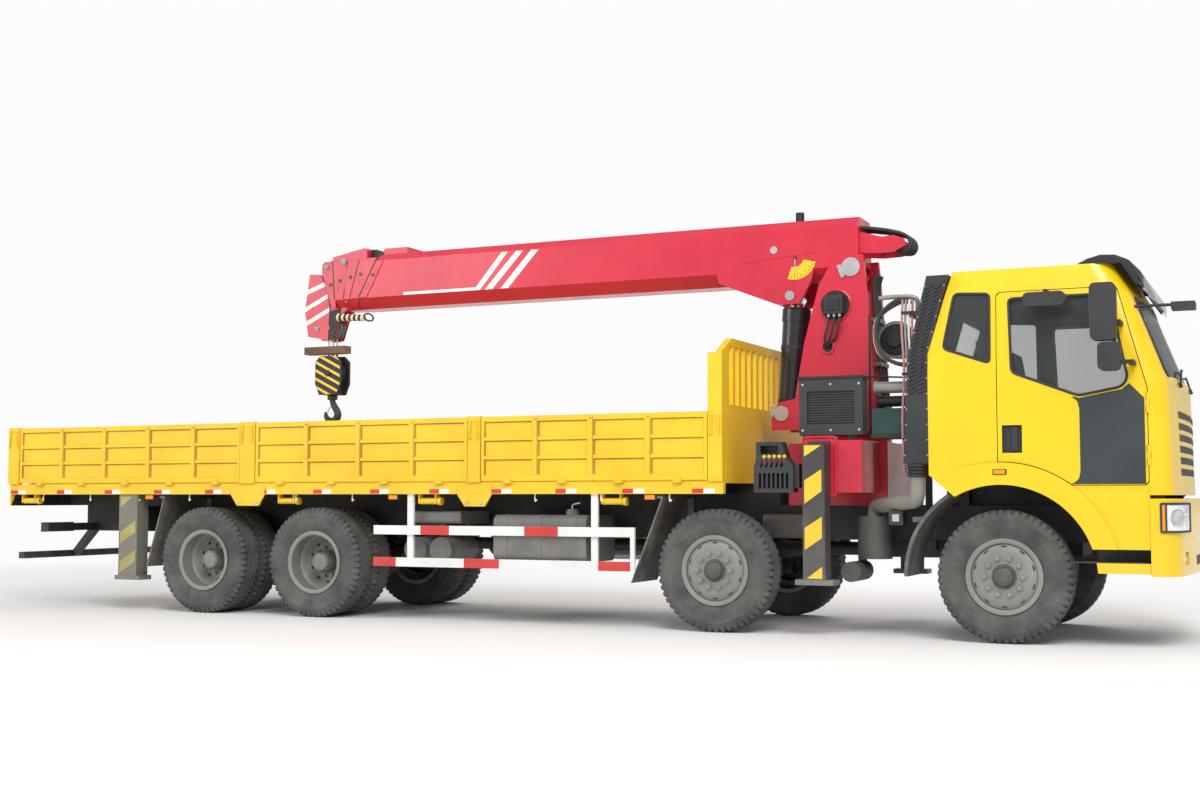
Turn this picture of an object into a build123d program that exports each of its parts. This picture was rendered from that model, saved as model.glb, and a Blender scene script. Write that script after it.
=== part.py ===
"""Truck-mounted crane: a four-axle dropside lorry with a telescopic crane between cab and load bed.

Frame: +X forward, +Y to the left, +Z up, origin on the ground at the middle of the length.
Millimetres throughout.
"""

import math
import os

from build123d import *

os.makedirs("parts", exist_ok=True)

SIDES = (("right", -1), ("left", 1))
SEAT_GAP = 0.3          # between pieces of different bodies that bear on each other
RUN_GAP = 6             # between pieces that move past each other

# Wheels and axles
TYRE_RADIUS = 530
TYRE_WIDTH = 290
TREAD_WIDTH = 216
BEAD_RADIUS = 285
BEAD_SPREAD = 210
RIM_WALL = 16
FLANGE_HEIGHT = 20
AXLE_Z = TYRE_RADIUS
FRONT_AXLE_X = 4550
AXLE_1_TO_2 = 2450
AXLE_2_TO_3 = 4120
AXLE_3_TO_4 = 1350
STEER_AXLES_X = (FRONT_AXLE_X, FRONT_AXLE_X - AXLE_1_TO_2)
DRIVE_AXLES_X = (STEER_AXLES_X[1] - AXLE_2_TO_3, STEER_AXLES_X[1] - AXLE_2_TO_3 - AXLE_3_TO_4)
TRUNNION_X = sum(DRIVE_AXLES_X) / 2
STEER_WHEEL_Y = 1010
KINGPIN_Y = 910
DUAL_Y = 930
DUAL_SPACING = 330
SPINDLE_RADIUS = 45
KINGPIN_RADIUS = 25
EYE_RADIUS = 60
EYE_HEIGHT = 90
FORK_HEIGHT = 62
BEAM_DROP = 75
HUB_RADIUS = 105
DRUM_RADIUS = 205

# Chassis rails
RAIL_Y = 432
RAIL_FLANGE = 85
RAIL_WALL = 10
RAIL_DEPTH = 300
RAIL_BOTTOM = AXLE_Z + 260
RAIL_TOP = RAIL_BOTTOM + RAIL_DEPTH
RAIL_FRONT_X = 5350
RAIL_REAR_X = -5650

# Load bed
BED_FRONT_X = 2220
BED_REAR_X = -6000
HINGE_Y = 1250
BED_SILL = 100
BED_RAIL_DEPTH = 110
BED_RAIL_Z = RAIL_TOP + BED_SILL
DECK_Z = BED_RAIL_Z + BED_RAIL_DEPTH
DECK_PLATE = 16
FLOOR_SHEET = 6
FLOOR_HALF = 1140
BED_RAIL_Y = HINGE_Y - 22
HINGE_Z = DECK_Z - 4
HINGE_X = BED_REAR_X - 20
BOARD_THICKNESS = 40
BOARD_SETBACK = 8
BOARD_LIFT = 16
BOARD_HEIGHT = 590
BOARD_BOTTOM = HINGE_Z + BOARD_LIFT
BOARD_TOP = BOARD_BOTTOM + BOARD_HEIGHT
BOARD_OUT_Y = HINGE_Y - BOARD_SETBACK
BOARD_GAP = 10
RIB_PITCH = 600
PRESSING_DEPTH = 16
POST_DEPTH = 62
POST_OUT_Y = HINGE_Y
HEADBOARD_TOP = DECK_Z + 1250
HEADBOARD_RAIL = DECK_Z + 665
HEADBOARD_THICKNESS = 60
HEADBOARD_POST = 130
PIN_RADIUS = 8
EAR_RADIUS = 11
KNUCKLE_RADIUS = 14
# posts of each bed side, from the front: low and high X
BED_POSTS = (
    (BED_FRONT_X - HEADBOARD_POST, BED_FRONT_X),
    (-285, -155),
    (-2900, -2720),
    (BED_REAR_X - 12, BED_REAR_X + 140),
)

BOARD_SPANS = [
    (BED_POSTS[index + 1][1] + BOARD_GAP, BED_POSTS[index][0] - BOARD_GAP) for index in range(3)
]
TAILGATE_SPAN = (-POST_OUT_Y + POST_DEPTH + BOARD_GAP, POST_OUT_Y - POST_DEPTH - BOARD_GAP)
EAR_OUT = 35
EAR_PLATE = 8
BEARERS = 14

# Crane
SLEW_X = 2970
BASE_HEIGHT = 550
RING_HEIGHT = 90
RING_RADIUS = 400
BASE_TOP = RAIL_TOP + BASE_HEIGHT
SLEW_Z = BASE_TOP + RING_HEIGHT
PIVOT_X = SLEW_X + 130
PIVOT_Z = SLEW_Z + 1490
ROD_EYE_X = SLEW_X - 460
ROD_EYE_Z = SLEW_Z + 1270
BARREL_PIN_X = SLEW_X - 530
BARREL_PIN_Z = SLEW_Z + 190
COLUMN_IN_Y = 245
COLUMN_PLATE = 45
BARREL_RADIUS = 125
ROD_RADIUS = 60
CYLINDER_PIN = 45
PIVOT_PIN = 60
BOOM_BOTTOM = PIVOT_Z - 90
BOOM_HEIGHT = 560
BOOM_HALF = 230
BOOM_WALL = 10
BOOM_NEST = 22          # how much smaller each section is than the one around it
BOOM_TAIL_X = SLEW_X + 180
BOOM_END_X = -2250
BOOM_SLANT = 310
SECTION_STEP = 40
HOOK_PIN_X = -2670
HOOK_PIN_Z = 2960
HEAD_SHEAVE = 110
GROOVE = 14
ROPE_Y = 40
HEAD_PLATE_GAP = 75
HEAD_PLATE = 20
ROPE_RADIUS = 9

# Outriggers
TUBE_WIDTH = 208
TUBE_HEIGHT = 440
TUBE_WALL = 9
TUBE_END_Y = 1045
TUBE_Z = BASE_TOP - TUBE_HEIGHT
RIGHT_TUBE_X = SLEW_X + 50
LEFT_TUBE_X = SLEW_X + 309
LEG_WIDTH = 190
LEG_DEPTH = 168
LEG_OUT_Y = 1230
LEG_TOP = BASE_TOP - 35
LEG_BOTTOM = 476
LEG_HEAD = 60
LEG_WALL = 14
FOOT_THICKNESS = 45
FOOT_RADIUS = 165
REAR_LEG_X = -4340
REAR_LEG_WIDTH = 240
REAR_LEG_BOTTOM = 356
REAR_BORE_TOP = BED_RAIL_Z - LEG_HEAD
FRONT_BORE_TOP = LEG_TOP - LEG_HEAD

# Cab
CAB_REAR_X = 3985
CAB_FRONT_X = 5895
CAB_HALF = 1225
CAB_WALL = 60
CAB_CORNER = 170
CAB_BOW = 60
CAB_BOTTOM = 1185
CAB_SEAM = 1236
CAB_FLOOR = RAIL_TOP + 240
CAB_FLOOR_PLATE = 70
CAB_ROOF = 2990
PANE = 8
CAB_PIVOT_X = 5780
CAB_PIVOT_Z = 1200
TILT_PIN = 25
ARCH_RADIUS = 730
ARCH_BAND = 176
ARCH_PROUD = 22
ARCH_TAIL_HIGH = (CAB_REAR_X, 1339)
ARCH_TAIL_LOW = (CAB_REAR_X + 225, 1150)
DOOR_GAP = 6
MIRROR_CORNER = 42
HANDLE_X = (FRONT_AXLE_X + 20, FRONT_AXLE_X + 175)
DOOR_HINGE_X = 5667
DOOR_HINGE_Y = CAB_HALF + 3
DOOR_HINGES_Z = (1480, 1880)
DOOR_PIN = 7
BARREL_OUT = 13
BARREL_LENGTH = 50
STEP_OUT_Y = CAB_HALF - 3
STEP_BACK_Y = CAB_HALF - 240
STEP_PLATE = 20
STEP_BOTTOM = 575
STEP_TREAD = 655
STEP_ROOF = 760
BUMPER_FRONT_X = 5945
BUMPER_HALF = 1238
BUMPER_BOTTOM = 560
BUMPER_TOP = 1150
BUMPER_WALL = 42

# a cab level: height, rear X, front X on the centre line, half width
CAB_LEVELS = (
    (CAB_BOTTOM - 10, CAB_REAR_X, CAB_FRONT_X, CAB_HALF),
    (2040, CAB_REAR_X, CAB_FRONT_X - 20, CAB_HALF),
    (2320, CAB_REAR_X, CAB_FRONT_X - 125, CAB_HALF - 12),
    (2760, CAB_REAR_X + 130, CAB_FRONT_X - 290, CAB_HALF - 38),
    (CAB_ROOF, CAB_REAR_X + 195, CAB_FRONT_X - 420, CAB_HALF - 90),
)

AXIS_TURN = {"x": (0, 90, 0), "y": (90, 0, 0), "z": (0, 0, 0)}


def span(side, inner, outer):
    """The Y span between two distances from the centre line, on one side."""
    return tuple(sorted((side * inner, side * outer)))


def block(x, y, z, mode=Mode.ADD):
    """A box given by its low and high places along X, Y and Z."""
    with Locations((sum(x) / 2, sum(y) / 2, sum(z) / 2)):
        Box(x[1] - x[0], y[1] - y[0], z[1] - z[0], mode=mode)


def rod(center, axis, radius, length, mode=Mode.ADD):
    """A round bar about its middle point, along one axis."""
    with Locations(Location(center, AXIS_TURN[axis])):
        Cylinder(radius, length, mode=mode)


def side_plate(points, y, mode=Mode.ADD, radius=0):
    """A plate with an outline in X and Z, as thick as the Y span."""
    with BuildSketch(Plane.XZ.offset(-y[1])) as outline:
        with BuildLine():
            Polyline(*points, close=True)
        make_face()
        if radius:
            fillet(outline.vertices(), radius)
    extrude(outline.sketch, amount=y[1] - y[0], mode=mode)


def cross_plate(points, x, mode=Mode.ADD, radius=0):
    """A plate with an outline in Y and Z, as thick as the X span."""
    with BuildSketch(Plane.YZ.offset(x[0])) as outline:
        with BuildLine():
            Polyline(*points, close=True)
        make_face()
        if radius:
            fillet(outline.vertices(), radius)
    extrude(outline.sketch, amount=x[1] - x[0], mode=mode)


def leaf_spring(middle_x, half_length, y, end_z, middle_z, end_depth, middle_depth):
    """A stack of leaves: arched above and below, deepest in the middle."""
    with BuildSketch(Plane.XZ.offset(-y[1])) as stack:
        with BuildLine():
            ThreePointArc(
                (middle_x - half_length, end_z), (middle_x, middle_z), (middle_x + half_length, end_z)
            )
            Line((middle_x + half_length, end_z), (middle_x + half_length, end_z - end_depth))
            ThreePointArc(
                (middle_x + half_length, end_z - end_depth),
                (middle_x, middle_z - middle_depth),
                (middle_x - half_length, end_z - end_depth),
            )
            Line((middle_x - half_length, end_z - end_depth), (middle_x - half_length, end_z))
        make_face()
    extrude(stack.sketch, amount=y[1] - y[0])


def wheel_plane(x, y, side):
    """A plane through a wheel's axis: local x points outboard, local y is the radius."""
    return Plane(origin=(x, side * y, AXLE_Z), x_dir=(0, side, 0), z_dir=(side, 0, 0))


def turned(plane, points):
    """A ring turned about the wheel axis from an outline of axial place and radius."""
    with BuildSketch(plane) as outline:
        with BuildLine():
            Polyline(*points, close=True)
        make_face()
    revolve(outline.sketch, axis=Axis(plane.origin, plane.x_dir))


def tyre(plane, middle):
    """A tyre about an axial place, its sidewalls bulged."""
    bead = BEAD_SPREAD / 2
    half = TYRE_WIDTH / 2
    tread = TREAD_WIDTH / 2
    foot = BEAD_RADIUS + FLANGE_HEIGHT + 5
    bulge = (BEAD_RADIUS + TYRE_RADIUS) / 2
    shoulder = TYRE_RADIUS - 22
    with BuildSketch(plane) as outline:
        with BuildLine():
            Line((middle - bead, BEAD_RADIUS), (middle - bead, foot))
            ThreePointArc((middle - bead, foot), (middle - half, bulge), (middle - tread - 16, shoulder))
            Line((middle - tread - 16, shoulder), (middle - tread, TYRE_RADIUS))
            Line((middle - tread, TYRE_RADIUS), (middle + tread, TYRE_RADIUS))
            Line((middle + tread, TYRE_RADIUS), (middle + tread + 16, shoulder))
            ThreePointArc((middle + tread + 16, shoulder), (middle + half, bulge), (middle + bead, foot))
            Line((middle + bead, foot), (middle + bead, BEAD_RADIUS))
            Line((middle + bead, BEAD_RADIUS), (middle - bead, BEAD_RADIUS))
        make_face()
    revolve(outline.sketch, axis=Axis(plane.origin, plane.x_dir))


def rim_band(middle):
    """The outline of a rim: a barrel between two flanges."""
    seat = BEAD_RADIUS - SEAT_GAP
    bead = BEAD_SPREAD / 2 + SEAT_GAP
    lip = bead + 14
    inside = seat - RIM_WALL
    top = BEAD_RADIUS + FLANGE_HEIGHT
    return (
        (middle - lip, inside), (middle - lip, top), (middle - bead, top), (middle - bead, seat),
        (middle + bead, seat), (middle + bead, top), (middle + lip, top), (middle + lip, inside),
    )


def cab_outline(level, inset):
    """The plan outline of the cab at one level: straight back and sides, round corners, bowed front."""
    z, rear, front, half = level
    rear = rear + inset
    front = front - inset
    half = half - inset
    corner = CAB_CORNER - inset
    shoulder = front - CAB_BOW
    turn = corner * math.sqrt(0.5)
    with BuildSketch(Plane.XY.offset(z)) as outline:
        with BuildLine():
            Line((rear, half), (rear, -half))
            Line((rear, -half), (shoulder - corner, -half))
            ThreePointArc(
                (shoulder - corner, -half),
                (shoulder - corner + turn, -half + corner - turn),
                (shoulder, -half + corner),
            )
            ThreePointArc((shoulder, -half + corner), (front, 0), (shoulder, half - corner))
            ThreePointArc(
                (shoulder, half - corner),
                (shoulder - corner + turn, half - corner + turn),
                (shoulder - corner, half),
            )
            Line((shoulder - corner, half), (rear, half))
        make_face()
    return outline.sketch


def level_at(z):
    """A cab level between the given ones, in proportion."""
    for low, high in zip(CAB_LEVELS, CAB_LEVELS[1:]):
        if low[0] <= z <= high[0]:
            share = (z - low[0]) / (high[0] - low[0])
            return (z,) + tuple(a + share * (b - a) for a, b in zip(low[1:], high[1:]))


def cab_body(inset, bottom, top, mode=Mode.ADD):
    """The cab's volume, drawn in by an inset, between two heights."""
    levels = [level_at(bottom)]
    levels += [level for level in CAB_LEVELS if bottom < level[0] < top]
    levels += [level_at(top)]
    loft([cab_outline(level, inset) for level in levels], ruled=True, mode=mode)


def boom_outline(x, inset):
    """The boom's cross-section, drawn in by an inset, on a plane across the boom."""
    top = BOOM_BOTTOM + BOOM_HEIGHT
    with BuildSketch(Plane.YZ.offset(x)) as outline:
        with BuildLine():
            Polyline(
                (-BOOM_HALF + 110, BOOM_BOTTOM), (BOOM_HALF - 110, BOOM_BOTTOM),
                (BOOM_HALF, BOOM_BOTTOM + 110), (BOOM_HALF, top - 70),
                (BOOM_HALF - 60, top), (-BOOM_HALF + 60, top),
                (-BOOM_HALF, top - 70), (-BOOM_HALF, BOOM_BOTTOM + 110),
                close=True,
            )
        make_face()
        if inset:
            offset(amount=-inset, kind=Kind.INTERSECTION, mode=Mode.REPLACE)
    return outline.sketch


def sheave(centre, radius, half):
    """A sheave across the boom with two rope grooves."""
    plane = Plane(origin=centre, x_dir=(0, 1, 0), z_dir=(1, 0, 0))
    root = radius - GROOVE
    turned(plane, [
        (-half, 20), (-half, radius), (-ROPE_Y - 16, radius), (-ROPE_Y - 10, root), (-ROPE_Y + 10, root),
        (-ROPE_Y + 16, radius), (ROPE_Y - 16, radius), (ROPE_Y - 10, root), (ROPE_Y + 10, root),
        (ROPE_Y + 16, radius), (half, radius), (half, 20),
    ])


def mirror_head(x, y, z):
    """A mirror head with rounded corners, seen from the side."""
    with BuildSketch(Plane.XZ.offset(-y[1])) as outline:
        with Locations(((x[0] + x[1]) / 2, (z[0] + z[1]) / 2)):
            RectangleRounded(x[1] - x[0], z[1] - z[0], MIRROR_CORNER)
    extrude(outline.sketch, amount=y[1] - y[0])


def hinge_places(low, high):
    """Places of a board's hinges along it, one in the middle of each bay between ribs."""
    bays = max(2, round((high - low) / RIB_PITCH))
    pitch = (high - low) / bays
    return [low + pitch * (index + 0.5) for index in range(bays)]


def save(piece, name):
    """Label a finished piece and write it."""
    piece.label = name
    export_step(piece, f"parts/{name}.step")


# Chassis frame: two channel rails, cross members, rear jack legs and the underrun bar
with BuildPart() as chassis_frame:
    for _, side in SIDES:
        inner = RAIL_Y - RAIL_FLANGE
        web = RAIL_Y - RAIL_WALL
        channel = (
            (RAIL_Y, RAIL_BOTTOM), (RAIL_Y, RAIL_TOP), (inner, RAIL_TOP), (inner, RAIL_TOP - RAIL_WALL),
            (web, RAIL_TOP - RAIL_WALL), (web, RAIL_BOTTOM + RAIL_WALL),
            (inner, RAIL_BOTTOM + RAIL_WALL), (inner, RAIL_BOTTOM),
        )
        cross_plate([(side * y, z) for y, z in channel], (RAIL_REAR_X, RAIL_FRONT_X))
        # rear jack tube with its ram bore, hung on a cross tube
        block(
            (REAR_LEG_X - REAR_LEG_WIDTH / 2, REAR_LEG_X + REAR_LEG_WIDTH / 2),
            span(side, LEG_OUT_Y - LEG_DEPTH, LEG_OUT_Y),
            (REAR_LEG_BOTTOM, BED_RAIL_Z - RUN_GAP),
        )
        rod(
            (REAR_LEG_X, side * (LEG_OUT_Y - LEG_DEPTH / 2), (REAR_LEG_BOTTOM + REAR_BORE_TOP) / 2),
            "z", LEG_DEPTH / 2 - LEG_WALL, REAR_BORE_TOP - REAR_LEG_BOTTOM, mode=Mode.SUBTRACT,
        )
        block(
            (REAR_LEG_X - 100, REAR_LEG_X + 100), span(side, RAIL_Y, LEG_OUT_Y - LEG_DEPTH),
            (RAIL_BOTTOM + 20, RAIL_TOP - 20),
        )
        # drop arm of the underrun bar
        side_plate(
            [(RAIL_REAR_X + 100, RAIL_BOTTOM), (RAIL_REAR_X, RAIL_BOTTOM),
             (RAIL_REAR_X - 275, 500), (RAIL_REAR_X - 190, 500)],
            span(side, inner, RAIL_Y),
        )
    for x in (5290, 1300, 400, -700, -1500, TRUNNION_X, -4000, -4900, -5590):
        block((x - 60, x + 60), (-RAIL_Y + RAIL_WALL, RAIL_Y - RAIL_WALL),
              (RAIL_BOTTOM + 40, RAIL_TOP - 40))
    block((RAIL_REAR_X - 280, RAIL_REAR_X - 200), (-1150, 1150), (500, 570))
save(chassis_frame.part, "chassis_frame")

# Steering axles: dropped beams with kingpin eyes, on leaf springs under the rails
SPRING_Y = (RAIL_Y - 55, RAIL_Y + 30)
with BuildPart() as front_axles:
    for axle_x in STEER_AXLES_X:
        half = EYE_HEIGHT / 2
        beam = (
            (860, AXLE_Z + half), (760, AXLE_Z + half), (620, AXLE_Z + half - BEAM_DROP),
            (-620, AXLE_Z + half - BEAM_DROP), (-760, AXLE_Z + half), (-860, AXLE_Z + half),
            (-860, AXLE_Z - half), (-760, AXLE_Z - half), (-620, AXLE_Z - half - BEAM_DROP - 10),
            (620, AXLE_Z - half - BEAM_DROP - 10), (760, AXLE_Z - half), (860, AXLE_Z - half),
        )
        cross_plate(beam, (axle_x - 50, axle_x + 50))
        for _, side in SIDES:
            rod((axle_x, side * KINGPIN_Y, AXLE_Z), "z", EYE_RADIUS, EYE_HEIGHT)
            rod((axle_x, side * KINGPIN_Y, AXLE_Z), "z", KINGPIN_RADIUS + SEAT_GAP, EYE_HEIGHT,
                mode=Mode.SUBTRACT)
            spring = span(side, *SPRING_Y)
            leaf_spring(axle_x, 720, spring, RAIL_BOTTOM - 70, RAIL_BOTTOM - 150, 20, 60)
            block((axle_x - 90, axle_x + 90), spring,
                  (AXLE_Z + half - BEAM_DROP - 5, RAIL_BOTTOM - 180))
            for end in (-1, 1):
                block(tuple(sorted((axle_x + end * 680, axle_x + end * 760))), spring,
                      (RAIL_BOTTOM - 100, RAIL_BOTTOM))
save(front_axles.part, "front_axles")

# Tandem bogie: two driven axles joined by leaf springs on a trunnion
BOGIE_SPRING_Y = (RAIL_Y + 33, RAIL_Y + 123)
with BuildPart() as rear_bogie:
    for axle_x in DRIVE_AXLES_X:
        rod((axle_x, 0, AXLE_Z), "y", 75, 2 * 860)
        rod((axle_x, 0, AXLE_Z), "y", SPINDLE_RADIUS, 2 * 1035)
        with Locations((axle_x, 0, AXLE_Z)):
            Sphere(205)
        rod((axle_x + 180, 0, AXLE_Z + 40), "x", 110, 240)
    for _, side in SIDES:
        spring = span(side, *BOGIE_SPRING_Y)
        leaf_spring(TRUNNION_X, AXLE_3_TO_4 / 2 + 70, spring, AXLE_Z + 120, AXLE_Z + 230, 25, 110)
        block((TRUNNION_X - 120, TRUNNION_X + 120), spring, (AXLE_Z - 60, AXLE_Z + 130))
        block((TRUNNION_X - 150, TRUNNION_X + 150), span(side, RAIL_Y, BOGIE_SPRING_Y[0]),
              (AXLE_Z - 60, RAIL_TOP - 60))
        for axle_x in DRIVE_AXLES_X:
            block((axle_x - 60, axle_x + 60), spring, (AXLE_Z + 55, AXLE_Z + 100))
    rod((TRUNNION_X, 0, AXLE_Z), "y", 60, 2 * BOGIE_SPRING_Y[0])
save(rear_bogie.part, "rear_bogie")

# Engine, gearbox and propeller shafts
ENGINE_X = (3950, 5050)
GEARBOX_X = (3150, ENGINE_X[0])
SHAFT_Z = RAIL_BOTTOM - 90
with BuildPart() as driveline:
    block(ENGINE_X, (-320, 320), (RAIL_BOTTOM - 150, CAB_FLOOR - 60))
    block((ENGINE_X[0] + 150, ENGINE_X[1] - 150), (-200, 200), (RAIL_BOTTOM - 230, RAIL_BOTTOM - 150))
    block(GEARBOX_X, (-230, 230), (RAIL_BOTTOM - 150, RAIL_TOP - 40))
    block((ENGINE_X[1], ENGINE_X[1] + 80), (-60, 60), (RAIL_BOTTOM, RAIL_TOP))
    block((ENGINE_X[1] + 80, ENGINE_X[1] + 170), (-335, 335), (RAIL_BOTTOM - 60, CAB_FLOOR - 40))
    shaft_end = DRIVE_AXLES_X[0] + 300
    rod(((GEARBOX_X[0] + shaft_end) / 2, 0, SHAFT_Z), "x", 60, GEARBOX_X[0] - shaft_end)
    block((shaft_end, shaft_end + 90), (-70, 70), (AXLE_Z + 40, SHAFT_Z + 60))
    for _, side in SIDES:
        block((ENGINE_X[0] + 200, ENGINE_X[0] + 320), span(side, 320, RAIL_Y - RAIL_WALL),
              (RAIL_BOTTOM + RAIL_WALL, RAIL_BOTTOM + 120))
save(driveline.part, "driveline")

# Tanks and boxes hung on the rails
TANK_IN_Y = 560
STRAP = 4
FILTER_PLACE = (3405, -720)
FILTER_RADIUS = 145
FILTER_Z = (640, 1000)
STACK_FOOT_Z = 1435
STACK_OUT_Y = CAB_HALF - 5
STACK_IN_Y = CAB_HALF - 135
MOUTH_PLACE = (CAB_REAR_X - 110, -(STACK_OUT_Y + STACK_IN_Y) / 2)
MOUTH_RADIUS = 84
MOUTH_RIBS = 4
RIB_HEIGHT = 26
INTAKE_RADIUS = 62
with BuildPart() as side_tanks:
    # hung box: low X, high X, bottom, top, inner Y, outer Y, side
    for x0, x1, bottom, top, inner, outer, side in (
        (-40, 900, 577, 1000, TANK_IN_Y, 1190, -1),
        (-960, -440, 914, 1030, TANK_IN_Y, 1100, -1),
        (2360, 2740, 800, 1010, RAIL_Y, 600, -1),
        (-40, 700, 577, 1000, TANK_IN_Y, 1150, 1),
    ):
        low, high = span(side, inner, outer)
        round_edge = min(70, (top - bottom) / 4)
        cross_plate([(low, bottom), (high, bottom), (high, top), (low, top)], (x0, x1), radius=round_edge)
        if top - bottom > 400:
            # straps round the tank and its filler neck
            for x in (x0 + 120, (x0 + x1) / 2, x1 - 120):
                cross_plate(
                    [(low - STRAP, bottom - STRAP), (high + STRAP, bottom - STRAP), (high + STRAP, top + STRAP),
                     (low - STRAP, top + STRAP)],
                    (x - 22, x + 22), radius=round_edge + STRAP,
                )
            rod((x1 - 200, side * (outer - 140), top + 14), "z", 62, 36)
            rod((x1 - 200, side * (outer - 140), top + 40), "z", 52, 24)
        if inner > RAIL_Y:
            block((x0 + 80, x1 - 80), span(side, RAIL_Y, inner), (max(bottom, RAIL_BOTTOM) + 20, top - 20))
    # air reservoir: middle X, middle Z, radius, side
    for x, z, radius, side in ((-950, 665, 120, -1), (-670, 665, 120, -1), (-950, 665, 120, 1)):
        rod((x, side * 820, z), "y", radius, 520)
        block((x - 30, x + 30), span(side, 500, 560), (z + 60, RAIL_BOTTOM + 120))
        block((x - 30, x + 30), span(side, RAIL_Y, 500), (RAIL_BOTTOM + 20, RAIL_BOTTOM + 120))
    # intake filter and silencer beside the crane base
    rod(FILTER_PLACE + (sum(FILTER_Z) / 2,), "z", FILTER_RADIUS, FILTER_Z[1] - FILTER_Z[0])
    block((FILTER_PLACE[0] - 40, FILTER_PLACE[0] + 40), (FILTER_PLACE[1], -RAIL_Y), (820, 900))
    # intake pipe: a ribbed mouth under the stack's foot, then back and down to the filter
    mouth_height = MOUTH_RIBS * RIB_HEIGHT
    mouth_foot = STACK_FOOT_Z - RUN_GAP - mouth_height
    rod(MOUTH_PLACE + (mouth_foot + mouth_height / 2,), "z", MOUTH_RADIUS - 14, mouth_height)
    with Locations(*[MOUTH_PLACE + (mouth_foot + (row + 0.5) * RIB_HEIGHT,) for row in range(MOUTH_RIBS)]):
        Cylinder(MOUTH_RADIUS, RIB_HEIGHT / 2)
    with BuildLine() as intake_line:
        FilletPolyline(
            MOUTH_PLACE + (mouth_foot + 10,), MOUTH_PLACE + (mouth_foot - 190,),
            FILTER_PLACE + (FILTER_Z[1] + INTAKE_RADIUS + 20,), FILTER_PLACE + (FILTER_Z[1] - 60,),
            radius=70,
        )
    with BuildSketch(Plane(origin=intake_line.line @ 0, z_dir=intake_line.line % 0)) as intake_section:
        Circle(INTAKE_RADIUS)
    sweep(intake_section.sketch, path=intake_line.line)
    rod((3260, -760, 535), "y", 85, 420)
    block((3230, 3290), (-620, -550), (535, RAIL_BOTTOM + 60))
    block((3230, 3290), (-550, -RAIL_Y), (RAIL_BOTTOM, RAIL_BOTTOM + 60))
    rod((3300, 700, 800), "x", 200, 700)
    block((3250, 3330), (RAIL_Y, 700), (800, 900))
save(side_tanks.part, "side_tanks")

# Side guards: two rails a side on posts under the load bed
GUARD_X = (-1320, 1390)
GUARD_POSTS_X = (-930, 990)
GUARD_RAIL = 28
GUARD_LOW_Z = (510, 594)
GUARD_HIGH_Z = (810, 895)
with BuildPart() as side_guards:
    for _, side in SIDES:
        rail = span(side, LEG_OUT_Y - GUARD_RAIL, LEG_OUT_Y)
        block(GUARD_X, rail, GUARD_HIGH_Z)
        block(GUARD_X, rail, GUARD_LOW_Z)
        block((GUARD_X[1] - 40, GUARD_X[1]), rail, (GUARD_LOW_Z[0], GUARD_HIGH_Z[1]))
        for x in GUARD_POSTS_X:
            block((x - 32, x + 32), span(side, LEG_OUT_Y - GUARD_RAIL - 30, LEG_OUT_Y - GUARD_RAIL),
                  (GUARD_LOW_Z[0], BED_RAIL_Z))
save(side_guards.part, "side_guards")

# Mudguards: a slanted flap behind each steering axle and behind the bogie
FLAP_Y = (640, 1200)
with BuildPart() as mudguards:
    # flap: X and Z of its top, X and Z of its foot
    for top_x, top_z, foot_x, foot_z in (
        (1650, 1150, 1360, 410),
        (-3890, 1150, -4100, 450),
    ):
        for _, side in SIDES:
            side_plate(
                [(top_x, top_z), (top_x - 16, top_z), (foot_x - 16, foot_z), (foot_x, foot_z)],
                span(side, *FLAP_Y),
            )
            block((top_x - 60, top_x), span(side, RAIL_Y, FLAP_Y[1]), (top_z, top_z + 24))
            block((top_x - 60, top_x), span(side, RAIL_Y, RAIL_Y + 30), (RAIL_TOP - 100, top_z + 24))
    # curved guard behind the first wheel, from the cab's arch down
    for _, side in SIDES:
        guard = span(side, 660, CAB_HALF - 15)
        with BuildSketch(Plane.XZ.offset(-max(guard))) as band:
            with Locations((FRONT_AXLE_X, AXLE_Z)):
                Circle(ARCH_RADIUS + 50)
                Circle(ARCH_RADIUS + 20, mode=Mode.SUBTRACT)
            with BuildLine():
                Polyline((CAB_REAR_X - 300, 520), (FRONT_AXLE_X - 300, 520),
                         (ARCH_TAIL_LOW[0] - 13, ARCH_TAIL_LOW[1] - 12),
                         (ARCH_TAIL_HIGH[0] - 13, ARCH_TAIL_HIGH[1] - 12),
                         (CAB_REAR_X - 300, ARCH_TAIL_HIGH[1] - 12), close=True)
            make_face(mode=Mode.INTERSECT)
        extrude(band.sketch, amount=guard[1] - guard[0])
        block((CAB_REAR_X - 150, CAB_REAR_X - 110), span(side, RAIL_Y, CAB_HALF - 60), (960, 1000))
        block((CAB_REAR_X - 150, CAB_REAR_X - 50), span(side, 700, CAB_HALF - 60), (960, 1000))
save(mudguards.part, "mudguards")

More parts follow.
